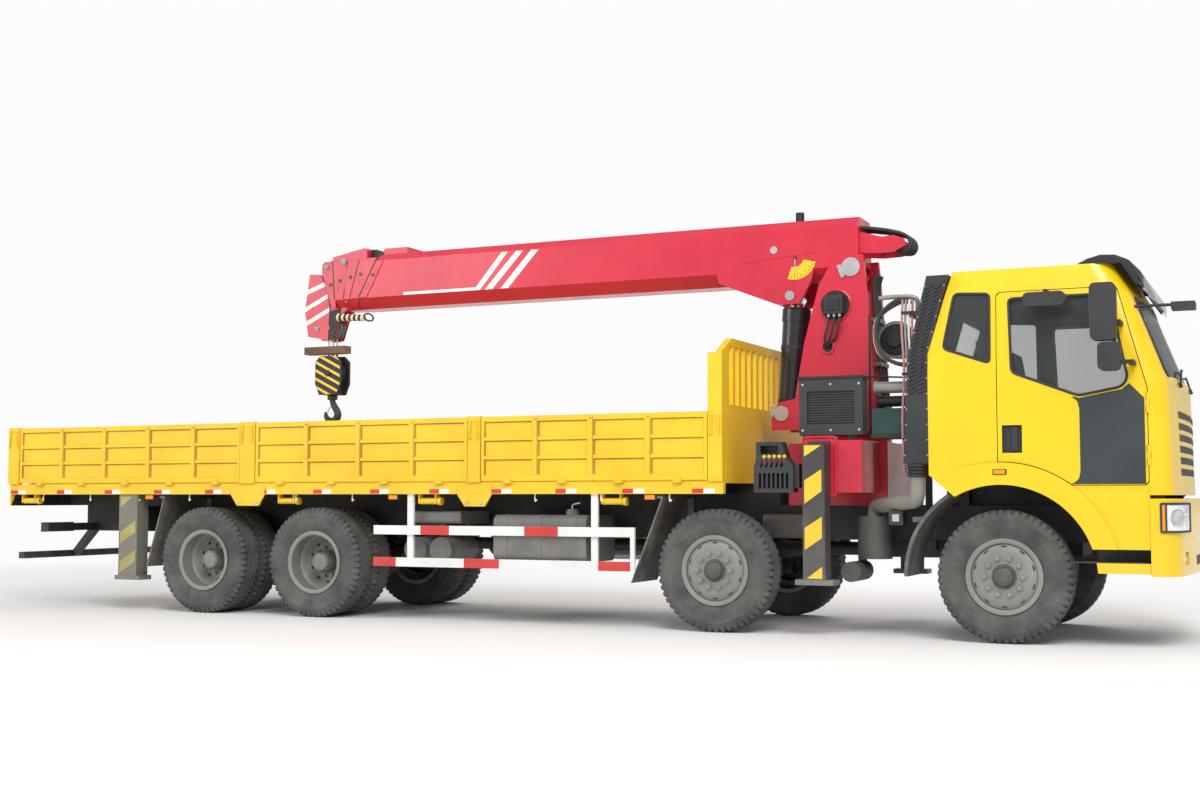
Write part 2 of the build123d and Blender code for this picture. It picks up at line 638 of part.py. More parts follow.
# Front bumper, with the brackets and pins that the cab tilts on
with BuildPart() as front_bumper:
    bumper_level = (BUMPER_BOTTOM, CAB_REAR_X, BUMPER_FRONT_X, BUMPER_HALF)
    extrude(cab_outline(bumper_level, 0), amount=BUMPER_TOP - BUMPER_BOTTOM)
    extrude(cab_outline((BUMPER_BOTTOM + 30, CAB_REAR_X - 200, BUMPER_FRONT_X, BUMPER_HALF), BUMPER_WALL),
            amount=BUMPER_TOP - BUMPER_BOTTOM, mode=Mode.SUBTRACT)
    block((CAB_REAR_X - 300, DOOR_HINGE_X), (-1500, 1500), (BUMPER_BOTTOM - 10, BUMPER_TOP + 10),
          mode=Mode.SUBTRACT)
    # air opening and the recess of a plate in the middle, pockets for the fog lamps
    block((BUMPER_FRONT_X - 30, BUMPER_FRONT_X + 50), (-420, 420), (620, 700), mode=Mode.SUBTRACT)
    block((BUMPER_FRONT_X - 14, BUMPER_FRONT_X + 50), (-230, 230), (780, 930), mode=Mode.SUBTRACT)
    for _, side in SIDES:
        block((BUMPER_FRONT_X - 70, BUMPER_FRONT_X + 50), span(side, 820, 990), (640, 740), mode=Mode.SUBTRACT)
        # bracket to the rail, and lugs with the cab's tilt pin
        block((RAIL_FRONT_X, BUMPER_FRONT_X - 25), span(side, RAIL_Y - 90, RAIL_Y), (850, 950))
        for inner in (RAIL_Y - 107, RAIL_Y - 17):
            side_plate(
                [(CAB_PIVOT_X - 130, 900), (CAB_PIVOT_X + 12, 900), (CAB_PIVOT_X + 12, CAB_PIVOT_Z - 40),
                 (CAB_PIVOT_X + 35, CAB_PIVOT_Z - 15), (CAB_PIVOT_X + 35, CAB_PIVOT_Z + 35),
                 (CAB_PIVOT_X - 35, CAB_PIVOT_Z + 35), (CAB_PIVOT_X - 90, CAB_PIVOT_Z - 100)],
                span(side, inner, inner + 24),
            )
        rod((CAB_PIVOT_X, side * (RAIL_Y - 50), CAB_PIVOT_Z), "y", TILT_PIN, 114)
        # cab rear rest
        block((CAB_REAR_X + 80, CAB_REAR_X + 160), span(side, RAIL_Y - 80, RAIL_Y),
              (RAIL_TOP, CAB_FLOOR - SEAT_GAP))
save(front_bumper.part, "front_bumper")

# Lamps: head and fog lamps in the bumper, rear lamps on their bar
with BuildPart() as lamps:
    extrude(cab_outline((900, CAB_REAR_X, BUMPER_FRONT_X + 12, BUMPER_HALF + 8), 0), amount=210)
    extrude(cab_outline((890, CAB_REAR_X - 200, BUMPER_FRONT_X, BUMPER_HALF), 0), amount=230,
            mode=Mode.SUBTRACT)
    block((CAB_REAR_X - 300, 5740), (-1500, 1500), (880, 1120), mode=Mode.SUBTRACT)
    block((5700, 6100), (-800, 800), (880, 1120), mode=Mode.SUBTRACT)
    for _, side in SIDES:
        block((RAIL_REAR_X + 60, RAIL_REAR_X + 140), span(side, RAIL_Y, 1150), (800, 880))
        block((RAIL_REAR_X + 20, RAIL_REAR_X + 60), span(side, 700, 1140), (790, 890))
save(lamps.part, "lamps")

# Load bed floor: deck, side rails, cross bearers, sills on the chassis and hinge ears
with BuildPart() as bed_floor:
    block((BED_REAR_X, BED_FRONT_X), (-BED_RAIL_Y, BED_RAIL_Y), (DECK_Z - DECK_PLATE, DECK_Z))
    block((BED_REAR_X + 180, BED_FRONT_X - 160), (-FLOOR_HALF, FLOOR_HALF), (DECK_Z, DECK_Z + FLOOR_SHEET))
    for _, side in SIDES:
        block((BED_REAR_X, BED_FRONT_X), span(side, BED_RAIL_Y - 60, BED_RAIL_Y),
              (BED_RAIL_Z, DECK_Z - DECK_PLATE))
        block((BED_REAR_X + 100, SLEW_X - 500), span(side, RAIL_Y - 80, RAIL_Y),
              (RAIL_TOP, DECK_Z - DECK_PLATE))
        for low, high in BED_POSTS[1:3]:
            side_plate(
                [(low - 110, BED_RAIL_Z), (high + 110, BED_RAIL_Z), (high + 40, BED_RAIL_Z - 115),
                 (low - 40, BED_RAIL_Z - 115)],
                span(side, BED_RAIL_Y - 20, BED_RAIL_Y),
            )
    with Locations(((BED_REAR_X + BED_FRONT_X) / 2, 0, (BED_RAIL_Z + DECK_Z - DECK_PLATE) / 2)):
        with GridLocations((BED_FRONT_X - BED_REAR_X - 400) / (BEARERS - 1), 1, BEARERS, 1):
            Box(70, 2 * (BED_RAIL_Y - 60), DECK_Z - DECK_PLATE - BED_RAIL_Z)
    block((BED_REAR_X, BED_REAR_X + 20), (-BED_RAIL_Y, BED_RAIL_Y), (BED_RAIL_Z - 120, DECK_Z))
    # hinge pins of all boards, each between two ears with webs back to the bed
    board_hinges = [
        (x, side * HINGE_Y) for _, side in SIDES for low, high in BOARD_SPANS for x in hinge_places(low, high)
    ]
    with Locations(*[Location((x, y, HINGE_Z), AXIS_TURN["x"]) for x, y in board_hinges]):
        Cylinder(PIN_RADIUS, 2 * EAR_OUT + 2 * EAR_PLATE)
        with Locations((0, 0, -EAR_OUT - EAR_PLATE / 2), (0, 0, EAR_OUT + EAR_PLATE / 2)):
            Cylinder(EAR_RADIUS, EAR_PLATE)
    web = HINGE_Y - BED_RAIL_Y
    with Locations(*[
        (x + end * (EAR_OUT + EAR_PLATE / 2), math.copysign(HINGE_Y - web / 2, y), HINGE_Z - EAR_RADIUS / 2)
        for x, y in board_hinges for end in (-1, 1)
    ]):
        Box(EAR_PLATE, web, EAR_RADIUS)
    tailgate_hinges = hinge_places(*TAILGATE_SPAN)
    with Locations(*[Location((HINGE_X, y, HINGE_Z), AXIS_TURN["y"]) for y in tailgate_hinges]):
        Cylinder(PIN_RADIUS, 2 * EAR_OUT + 2 * EAR_PLATE)
        with Locations((0, 0, -EAR_OUT - EAR_PLATE / 2), (0, 0, EAR_OUT + EAR_PLATE / 2)):
            Cylinder(EAR_RADIUS, EAR_PLATE)
    with Locations(*[
        ((HINGE_X + BED_REAR_X) / 2, y + end * (EAR_OUT + EAR_PLATE / 2), HINGE_Z - EAR_RADIUS / 2)
        for y in tailgate_hinges for end in (-1, 1)
    ]):
        Box(BED_REAR_X - HINGE_X, EAR_PLATE, EAR_RADIUS)
save(bed_floor.part, "bed_floor")

# Headboard: solid below, slatted above, its top corners cut off, between two front posts
SLATS = 14
with BuildPart() as bed_headboard:
    half = POST_OUT_Y - 4
    face = (BED_FRONT_X - HEADBOARD_THICKNESS, BED_FRONT_X)
    cross_plate(
        [(-half, DECK_Z), (half, DECK_Z), (half, HEADBOARD_TOP - 140), (half - 260, HEADBOARD_TOP),
         (-half + 260, HEADBOARD_TOP), (-half, HEADBOARD_TOP - 140)],
        face,
    )
    window = 2 * (half - 150)
    pitch = window / SLATS
    with BuildSketch(Plane.YZ.offset(face[0] - 10)) as slots:
        with Locations((0, (HEADBOARD_RAIL + HEADBOARD_TOP - 70) / 2)):
            with GridLocations(pitch, 1, SLATS, 1):
                Rectangle(pitch - 55, HEADBOARD_TOP - 70 - HEADBOARD_RAIL)
    extrude(slots.sketch, amount=HEADBOARD_THICKNESS + 20, mode=Mode.SUBTRACT)
    for _, side in SIDES:
        block((BED_FRONT_X - HEADBOARD_POST, BED_FRONT_X), span(side, POST_OUT_Y - POST_DEPTH, POST_OUT_Y),
              (DECK_Z, HEADBOARD_TOP - 140))
save(bed_headboard.part, "bed_headboard")

# Posts between the drop boards and at the rear corners
with BuildPart() as bed_posts:
    for low, high in BED_POSTS[1:]:
        for _, side in SIDES:
            block((low, high), span(side, POST_OUT_Y - POST_DEPTH, POST_OUT_Y), (DECK_Z, BOARD_TOP + 8))
save(bed_posts.part, "bed_posts")

# Drop boards of the bed sides, pressed in three rows, on hinge knuckles
BOARD_NAMES = ("front", "middle", "rear")
PRESSED_ROWS = 3
for side_name, side in SIDES:
    for board_name, (low, high) in zip(BOARD_NAMES, BOARD_SPANS):
        with BuildPart() as board:
            block((low, high), span(side, BOARD_OUT_Y - BOARD_THICKNESS, BOARD_OUT_Y),
                  (BOARD_BOTTOM, BOARD_TOP))
            bays = max(2, round((high - low) / RIB_PITCH))
            bay = (high - low) / bays
            row = (BOARD_HEIGHT - 70) / PRESSED_ROWS
            face = Plane(
                origin=((low + high) / 2, side * BOARD_OUT_Y, (BOARD_BOTTOM + BOARD_TOP) / 2),
                x_dir=(1, 0, 0), z_dir=(0, side, 0),
            )
            with BuildSketch(face) as pressings:
                with GridLocations(bay, row, bays, PRESSED_ROWS):
                    Rectangle(bay - 60, row - 26)
            extrude(pressings.sketch, amount=-PRESSING_DEPTH, taper=35, mode=Mode.SUBTRACT)
            for x in hinge_places(low, high):
                rod((x, side * HINGE_Y, HINGE_Z), "x", KNUCKLE_RADIUS, 2 * EAR_OUT - 6)
                block((x - EAR_OUT + 3, x + EAR_OUT - 3), span(side, BOARD_OUT_Y - 6, HINGE_Y),
                      (HINGE_Z + 4, BOARD_BOTTOM + 30))
                rod((x, side * HINGE_Y, HINGE_Z), "x", PIN_RADIUS + SEAT_GAP, 2 * EAR_OUT,
                    mode=Mode.SUBTRACT)
        save(board.part, f"board_{side_name}_{board_name}")

# Tailgate, pressed like the side boards
with BuildPart() as tailgate:
    low, high = TAILGATE_SPAN
    block((HINGE_X + BOARD_SETBACK, HINGE_X + BOARD_SETBACK + BOARD_THICKNESS), TAILGATE_SPAN,
          (BOARD_BOTTOM, BOARD_TOP))
    bays = max(2, round((high - low) / RIB_PITCH))
    bay = (high - low) / bays
    row = (BOARD_HEIGHT - 70) / PRESSED_ROWS
    face = Plane(origin=(HINGE_X + BOARD_SETBACK, 0, (BOARD_BOTTOM + BOARD_TOP) / 2),
                 x_dir=(0, 1, 0), z_dir=(-1, 0, 0))
    with BuildSketch(face) as pressings:
        with GridLocations(bay, row, bays, PRESSED_ROWS):
            Rectangle(bay - 60, row - 26)
    extrude(pressings.sketch, amount=-PRESSING_DEPTH, taper=35, mode=Mode.SUBTRACT)
    for y in hinge_places(low, high):
        rod((HINGE_X, y, HINGE_Z), "y", KNUCKLE_RADIUS, 2 * EAR_OUT - 6)
        block((HINGE_X, HINGE_X + BOARD_SETBACK + 6), (y - EAR_OUT + 3, y + EAR_OUT - 3),
              (HINGE_Z + 4, BOARD_BOTTOM + 30))
        rod((HINGE_X, y, HINGE_Z), "y", PIN_RADIUS + SEAT_GAP, 2 * EAR_OUT, mode=Mode.SUBTRACT)
save(tailgate.part, "tailgate")

# Steering knuckles: a fork about the beam's eye, the kingpin and the wheel spindle
for number, axle_x in enumerate(STEER_AXLES_X, start=1):
    for side_name, side in SIDES:
        with BuildPart() as knuckle:
            half = EYE_HEIGHT / 2 + 2
            rod((axle_x, side * KINGPIN_Y, AXLE_Z), "z", KINGPIN_RADIUS, 2 * (half + FORK_HEIGHT))
            upright = KINGPIN_Y + EYE_RADIUS + RUN_GAP
            for end in (-1, 1):
                middle = AXLE_Z + end * (half + FORK_HEIGHT / 2)
                rod((axle_x, side * KINGPIN_Y, middle), "z", EYE_RADIUS - 8, FORK_HEIGHT)
                block((axle_x - EYE_RADIUS + 8, axle_x + EYE_RADIUS - 8),
                      span(side, KINGPIN_Y, upright + 30),
                      (middle - FORK_HEIGHT / 2, middle + FORK_HEIGHT / 2))
            block((axle_x - EYE_RADIUS, axle_x + EYE_RADIUS), span(side, upright, upright + 30),
                  (AXLE_Z - half - FORK_HEIGHT, AXLE_Z + half + FORK_HEIGHT))
            rod((axle_x, side * (upright + 90), AXLE_Z), "y", SPINDLE_RADIUS, 130)
        save(knuckle.part, f"knuckle_{number}_{side_name}")

# Steered wheels: tyre, rim with an outset disc, brake drum and hub on the spindle
HAND_HOLES = 8
HAND_HOLES_R = 224
HAND_HOLE = 15
for number, axle_x in enumerate(STEER_AXLES_X, start=1):
    for side_name, side in SIDES:
        plane = wheel_plane(axle_x, STEER_WHEEL_Y, side)
        bore = SPINDLE_RADIUS + SEAT_GAP
        inside = BEAD_RADIUS - SEAT_GAP - RIM_WALL
        with BuildPart() as wheel:
            turned(plane, rim_band(0))
            turned(plane, [(24, inside + 4), (48, inside + 4), (112, 205), (112, 50), (98, 50), (98, 200)])
            turned(plane, [(2, bore), (2, HUB_RADIUS), (100, HUB_RADIUS), (100, 95), (150, 88),
                           (166, 60), (166, 0), (134, 0), (134, bore)])
            turned(plane, [(-70, DRUM_RADIUS - 14), (-70, DRUM_RADIUS), (86, DRUM_RADIUS), (100, 190),
                           (100, 100), (86, 100), (86, DRUM_RADIUS - 14)])
            with Locations(Plane(origin=plane.origin, x_dir=(1, 0, 0), z_dir=(0, side, 0)).location):
                with PolarLocations(HAND_HOLES_R, HAND_HOLES):
                    Cylinder(HAND_HOLE, 400, mode=Mode.SUBTRACT)
            tyre(plane, 0)
        save(wheel.part, f"wheel_{number}_{side_name}")

# Driven twin wheels: two tyres and rims on one hub, the outer disc dished deep
for number, axle_x in enumerate(DRIVE_AXLES_X, start=3):
    for side_name, side in SIDES:
        plane = wheel_plane(axle_x, DUAL_Y, side)
        bore = SPINDLE_RADIUS + SEAT_GAP
        inside = BEAD_RADIUS - SEAT_GAP - RIM_WALL
        with BuildPart() as wheel:
            for end in (-1, 1):
                turned(plane, rim_band(end * DUAL_SPACING / 2))
                turned(plane, [(end * a, r) for a, r in
                               ((58, inside + 4), (84, inside + 4), (18, 175), (18, 90), (0, 90), (0, 175))])
            turned(plane, [(-60, bore), (-60, HUB_RADIUS), (90, HUB_RADIUS), (110, 92), (170, 84),
                           (184, 60), (184, 0), (120, 0), (120, bore)])
            turned(plane, [(-205, DRUM_RADIUS - 14), (-205, DRUM_RADIUS), (-60, DRUM_RADIUS),
                           (-46, 190), (-46, 100), (-60, 100), (-60, DRUM_RADIUS - 14)])
            tyre(plane, -DUAL_SPACING / 2)
            tyre(plane, DUAL_SPACING / 2)
        save(wheel.part, f"wheel_{number}_{side_name}")

# Cab walls and what is cut from them
DOOR_OUTLINE = (
    (FRONT_AXLE_X - 20, CAB_SEAM + 14), (DOOR_HINGE_X, CAB_SEAM + 14), (DOOR_HINGE_X, 2000),
    (DOOR_HINGE_X - 215, 2800), (FRONT_AXLE_X - 20, 2800),
)
DOOR_WINDOW = (
    (FRONT_AXLE_X + 80, 2740), (FRONT_AXLE_X + 845, 2740), (FRONT_AXLE_X + 975, 2075),
    (FRONT_AXLE_X + 930, 2010), (FRONT_AXLE_X + 610, 1950), (FRONT_AXLE_X + 100, 2150),
)
QUARTER_WINDOW = (
    (FRONT_AXLE_X - 350, 2805), (FRONT_AXLE_X - 70, 2790), (FRONT_AXLE_X - 70, 2230),
    (FRONT_AXLE_X - 440, 2360),
)
SCREEN_OUTLINE = ((-1075, 2100), (1075, 2100), (1010, 2720), (-1010, 2720))
REAR_WINDOW = ((-520, 2360), (520, 2360), (520, 2680), (-520, 2680))


def inset_outline(points, gap, y):
    """A plate with a given outline in X and Z drawn in by a gap, right across the cab side."""
    with BuildSketch(Plane.XZ.offset(-y[1])) as outline:
        with BuildLine():
            Polyline(*points, close=True)
        make_face()
        if gap:
            offset(amount=-gap, kind=Kind.INTERSECTION, mode=Mode.REPLACE)
        fillet(outline.vertices(), 40)
    extrude(outline.sketch, amount=y[1] - y[0])


with BuildPart() as cab_windows:
    for _, side in SIDES:
        inset_outline(QUARTER_WINDOW, 0, span(side, 900, 1400))
    cross_plate(SCREEN_OUTLINE, (5300, 6100), radius=60)
    cross_plate(REAR_WINDOW, (CAB_REAR_X - 50, CAB_REAR_X + 250), radius=40)

with BuildPart() as door_openings:
    for _, side in SIDES:
        inset_outline(DOOR_OUTLINE, 0, span(side, 900, 1400))

with BuildPart() as cab_walls:
    cab_body(0, CAB_BOTTOM - 8, CAB_ROOF)
    cab_body(CAB_WALL, CAB_FLOOR + CAB_FLOOR_PLATE, CAB_ROOF - CAB_WALL, mode=Mode.SUBTRACT)

# Grille in the cab's front
GRILLE_Z = 1330
GRILLE_PITCH = 90
GRILLE_ROWS = 6
GRILLE_SLOT = 56
GRILLE_WIDTH = 1500

# Cab shell: roof, back, front, pillars and floor, with the upper half of the wheel arches
with BuildPart() as cab_shell:
    add(cab_walls.part)
    block((CAB_REAR_X - 10, CAB_FRONT_X - CAB_BOW - CAB_WALL - 10),
          (-CAB_HALF + CAB_WALL, CAB_HALF - CAB_WALL), (CAB_BOTTOM - 100, CAB_FLOOR), mode=Mode.SUBTRACT)
    block((CAB_PIVOT_X - 100, CAB_PIVOT_X + 70), (-RAIL_Y - 30, RAIL_Y + 30),
          (CAB_BOTTOM - 100, CAB_FLOOR), mode=Mode.SUBTRACT)
    block((FRONT_AXLE_X, DOOR_HINGE_X), (-1500, 1500), (CAB_BOTTOM - 100, CAB_SEAM), mode=Mode.SUBTRACT)
    side_plate([(CAB_REAR_X - 50, CAB_BOTTOM - 100), (ARCH_TAIL_LOW[0], CAB_BOTTOM - 100), ARCH_TAIL_LOW,
                ARCH_TAIL_HIGH, (CAB_REAR_X - 50, ARCH_TAIL_HIGH[1])], (-1500, 1500), mode=Mode.SUBTRACT)
    add(door_openings.part, mode=Mode.SUBTRACT)
    for _, side in SIDES:
        # panel below the door, with the entry step in its foot
        cross_plate(
            [(side * y, z) for y, z in (
                (STEP_OUT_Y, CAB_SEAM), (STEP_OUT_Y, STEP_ROOF), (STEP_BACK_Y + STEP_PLATE, STEP_ROOF),
                (STEP_BACK_Y + STEP_PLATE, STEP_TREAD), (STEP_OUT_Y, STEP_TREAD), (STEP_OUT_Y, STEP_BOTTOM),
                (STEP_BACK_Y, STEP_BOTTOM), (STEP_BACK_Y, STEP_ROOF + STEP_PLATE),
                (STEP_OUT_Y - CAB_WALL, STEP_ROOF + STEP_PLATE), (STEP_OUT_Y - CAB_WALL, CAB_SEAM),
            )],
            (FRONT_AXLE_X + 500, DOOR_HINGE_X - 2),
        )
        # wheel arch flare, proud of the cab side, cut slanting at its rear
        flare = span(side, CAB_HALF - CAB_WALL, CAB_HALF + ARCH_PROUD)
        with BuildSketch(Plane.XZ.offset(-max(flare))) as arch:
            with Locations((FRONT_AXLE_X, AXLE_Z)):
                Circle(ARCH_RADIUS + ARCH_BAND)
            with BuildLine():
                Polyline((CAB_REAR_X, 1500), ARCH_TAIL_HIGH, ARCH_TAIL_LOW, (FRONT_AXLE_X, 1100),
                         (FRONT_AXLE_X, STEP_ROOF), (FRONT_AXLE_X + 1000, STEP_ROOF),
                         (FRONT_AXLE_X + 1000, 1500), close=True)
            make_face(mode=Mode.INTERSECT)
        extrude(arch.sketch, amount=flare[1] - flare[0])
    rod((FRONT_AXLE_X, 0, AXLE_Z), "y", ARCH_RADIUS, 3000, mode=Mode.SUBTRACT)
    add(cab_windows.part, mode=Mode.SUBTRACT)
    # grille slots across the front
    with Locations(*[(CAB_FRONT_X - 40, 0, GRILLE_Z + row * GRILLE_PITCH) for row in range(GRILLE_ROWS)]):
        Box(80, GRILLE_WIDTH, GRILLE_SLOT, align=(Align.MIN, Align.CENTER, Align.MIN), mode=Mode.SUBTRACT)
    for _, side in SIDES:
        # door hinges: two barrels and a pin about each gap for the door's own barrel
        for z in DOOR_HINGES_Z:
            axis = (DOOR_HINGE_X, side * DOOR_HINGE_Y, z)
            rod(axis, "z", BARREL_OUT + 3, BARREL_LENGTH + 2, mode=Mode.SUBTRACT)
            rod(axis, "z", DOOR_PIN, 2 * BARREL_LENGTH)
            for end in (-1, 1):
                rod(axis[:2] + (z + end * (BARREL_LENGTH + 2),), "z", BARREL_OUT, BARREL_LENGTH)
        # lug on the tilt pin
        lug = span(side, RAIL_Y - 77, RAIL_Y - 23)
        block((CAB_PIVOT_X - 40, CAB_PIVOT_X + 40), lug, (CAB_PIVOT_Z, CAB_FLOOR + 10))
        rod((CAB_PIVOT_X, sum(lug) / 2, CAB_PIVOT_Z), "y", TILT_PIN + 15, lug[1] - lug[0])
        rod((CAB_PIVOT_X, sum(lug) / 2, CAB_PIVOT_Z), "y", TILT_PIN + SEAT_GAP, 200, mode=Mode.SUBTRACT)
save(cab_shell.part, "cab_shell")

# Fixed glass: windscreen, quarter lights and rear window, set in their openings
with BuildPart() as cab_glass:
    cab_body(4, 2060, 2900)
    cab_body(4 + PANE, 2060, 2900, mode=Mode.SUBTRACT)
    add(cab_windows.part, mode=Mode.INTERSECT)
save(cab_glass.part, "cab_glass")

# Seats, dashboard and steering wheel
SEAT_Y = 560
DASH_X = 5330
STEERING_RADIUS = 225
FLOOR_TOP = CAB_FLOOR + CAB_FLOOR_PLATE
with BuildPart() as cab_interior:
    for _, side in SIDES:
        block((4420, 4720), span(side, SEAT_Y - 170, SEAT_Y + 170), (FLOOR_TOP, FLOOR_TOP + 240))
        block((4380, 4900), span(side, SEAT_Y - 260, SEAT_Y + 260), (FLOOR_TOP + 240, FLOOR_TOP + 390))
        side_plate(
            [(4400, FLOOR_TOP + 390), (4520, FLOOR_TOP + 390), (4400, FLOOR_TOP + 1050),
             (4290, FLOOR_TOP + 1050)],
            span(side, SEAT_Y - 240, SEAT_Y + 240),
        )
    side_plate(
        [(DASH_X + 150, FLOOR_TOP), (DASH_X + 330, FLOOR_TOP), (DASH_X + 330, FLOOR_TOP + 590),
         (DASH_X + 200, FLOOR_TOP + 640), (DASH_X, FLOOR_TOP + 590), (DASH_X, FLOOR_TOP + 380)],
        (-1060, 1060),
    )
    wheel_seat = Plane(origin=(DASH_X - 130, SEAT_Y, FLOOR_TOP + 640), x_dir=(0, 1, 0), z_dir=(-0.5, 0, 0.87))
    with Locations(wheel_seat.location):
        Torus(STEERING_RADIUS, 16)
        Cylinder(70, 40)
        Box(2 * STEERING_RADIUS, 40, 20)
    with Locations(wheel_seat.location * Pos(0, 0, -140)):
        Cylinder(40, 280)
save(cab_interior.part, "cab_interior")

# Sun visor: a hood over the head of the windscreen, with closed cheeks
VISOR_OUT = (
    (5150, 2990), (5230, 3030), (5330, 3056), (5440, 3050), (5540, 3005), (5620, 2920), (5672, 2810),
    (5690, 2735), (5640, 2745), (5560, 2860), (5480, 2985),
)
VISOR_HALF = 1130
with BuildPart() as visor:
    side_plate(VISOR_OUT, (-VISOR_HALF, VISOR_HALF))
    extrude(cab_outline((2600, CAB_REAR_X, 5700, VISOR_HALF), 0), amount=600, mode=Mode.INTERSECT)
    side_plate([(x - 26, z - 22) for x, z in VISOR_OUT[:8]] + [(5400, 2700), (5150, 2900)],
               (-VISOR_HALF + 60, VISOR_HALF - 60), mode=Mode.SUBTRACT)

# Cab trim: sun visor, look-down mirror and the air intake stack behind the cab
with BuildPart() as cab_trim:
    add(visor.part)
    # intake stack, leaning with the cab's back
    side_plate(
        [(CAB_REAR_X - 209, STACK_FOOT_Z), (CAB_REAR_X - SEAT_GAP, STACK_FOOT_Z), (CAB_REAR_X - SEAT_GAP, 2320),
         (CAB_REAR_X + 176, 2960), (CAB_REAR_X, 2960), (CAB_REAR_X - 160, 2320)],
        (-STACK_OUT_Y, -STACK_IN_Y),
    )
    # look-down mirror on its arm ahead of the windscreen's right corner
    with Locations(Location((5930, -1090, 2625), (0, 0, 0))):
        Box(170, 190, 55)
    rod((5700, -1090, 2640), "x", 12, 320)
    add(cab_walls.part, mode=Mode.SUBTRACT)
save(cab_trim.part, "cab_trim")

# Doors with their glass and mirrors
for side_name, side in SIDES:
    with BuildPart() as door_slab:
        inset_outline(DOOR_OUTLINE, DOOR_GAP, span(side, 900, 1400))
    with BuildPart() as door_window:
        inset_outline(DOOR_WINDOW, 0, span(side, 900, 1400))
    with BuildPart() as door:
        add(cab_walls.part)
        add(door_slab.part, mode=Mode.INTERSECT)
        add(door_window.part, mode=Mode.SUBTRACT)
        block((FRONT_AXLE_X - 100, DOOR_HINGE_X + 50), (-CAB_HALF + CAB_WALL, CAB_HALF - CAB_WALL),
              (CAB_BOTTOM - 100, CAB_FLOOR + CAB_FLOOR_PLATE), mode=Mode.SUBTRACT)
        rod((FRONT_AXLE_X, 0, AXLE_Z), "y", ARCH_RADIUS + ARCH_BAND + DOOR_GAP, 3000, mode=Mode.SUBTRACT)
        # recessed handle
        block(HANDLE_X, span(side, CAB_HALF - 24, CAB_HALF + 20), (1510, 1730), mode=Mode.SUBTRACT)
        block((FRONT_AXLE_X + 95, FRONT_AXLE_X + 140), span(side, CAB_HALF - 30, CAB_HALF - 4), (1525, 1715))
        for z in DOOR_HINGES_Z:
            axis = (DOOR_HINGE_X, side * DOOR_HINGE_Y)
            for end in (-1, 1):
                rod(axis + (z + end * (BARREL_LENGTH + 2),), "z", BARREL_OUT + 3, BARREL_LENGTH + 2,
                    mode=Mode.SUBTRACT)
            rod(axis + (z,), "z", BARREL_OUT, BARREL_LENGTH)
            rod(axis + (z,), "z", DOOR_PIN + SEAT_GAP, 2 * BARREL_LENGTH, mode=Mode.SUBTRACT)
    save(door.part, f"door_{side_name}")
    with BuildPart() as door_glass:
        cab_body(20, 1900, 2800)
        cab_body(20 + PANE, 1900, 2800, mode=Mode.SUBTRACT)
        add(door_window.part, mode=Mode.INTERSECT)
    save(door_glass.part, f"door_{side_name}_glass")
    with BuildPart() as mirrors:
        # main and wide-angle heads on two arms, and a kerb head over the right door
        mirror_head((5285, 5475), span(side, 1390, 1500), (2350, 2790))
        mirror_head((5335, 5500), span(side, 1390, 1490), (2120, 2336))
        block((5440, 5500), span(side, CAB_HALF - 45, 1410), (2480, 2510))
        block((5545, 5590), span(side, CAB_HALF - 35, 1430), (2170, 2200))
        block((5440, 5590), span(side, 1400, 1430), (2170, 2200))
        block((5445, 5465), span(side, 1400, 1430), (2300, 2400))
        if side < 0:
            mirror_head((4780, 5100), (-1440, -1300), (2640, 2750))
            block((4920, 4950), (-1320, -CAB_HALF + 65), (2760, 2785))
            block((4920, 4950), (-1320, -1300), (2730, 2785))
        add(cab_walls.part, mode=Mode.SUBTRACT)
    save(mirrors.part, f"door_{side_name}_mirrors")

# Crane base on the chassis: pedestal, slew ring seat and two outrigger tubes side by side
with BuildPart() as crane_base:
    block((SLEW_X - 420, SLEW_X + 480), (-RAIL_Y, RAIL_Y), (RAIL_TOP, BASE_TOP))
    for side, tube_x in ((-1, RIGHT_TUBE_X), (1, LEFT_TUBE_X)):
        half = TUBE_WIDTH / 2
        block((tube_x - half, tube_x + half), (-TUBE_END_Y, TUBE_END_Y), (TUBE_Z, BASE_TOP))
        block((tube_x - half - 40, tube_x + half + 40), span(side, TUBE_END_Y - 60, TUBE_END_Y),
              (TUBE_Z - 30, BASE_TOP + 30))
    for side, tube_x in ((-1, RIGHT_TUBE_X), (1, LEFT_TUBE_X)):
        half = TUBE_WIDTH / 2
        block((tube_x - half + TUBE_WALL, tube_x + half - TUBE_WALL),
              tuple(sorted((side * (TUBE_END_Y + 10), -side * (TUBE_END_Y - TUBE_WALL)))),
              (TUBE_Z + TUBE_WALL, BASE_TOP - TUBE_WALL), mode=Mode.SUBTRACT)
    rod((SLEW_X, 0, (BASE_TOP + SLEW_Z) / 2), "z", RING_RADIUS, RING_HEIGHT)
save(crane_base.part, "crane_base")

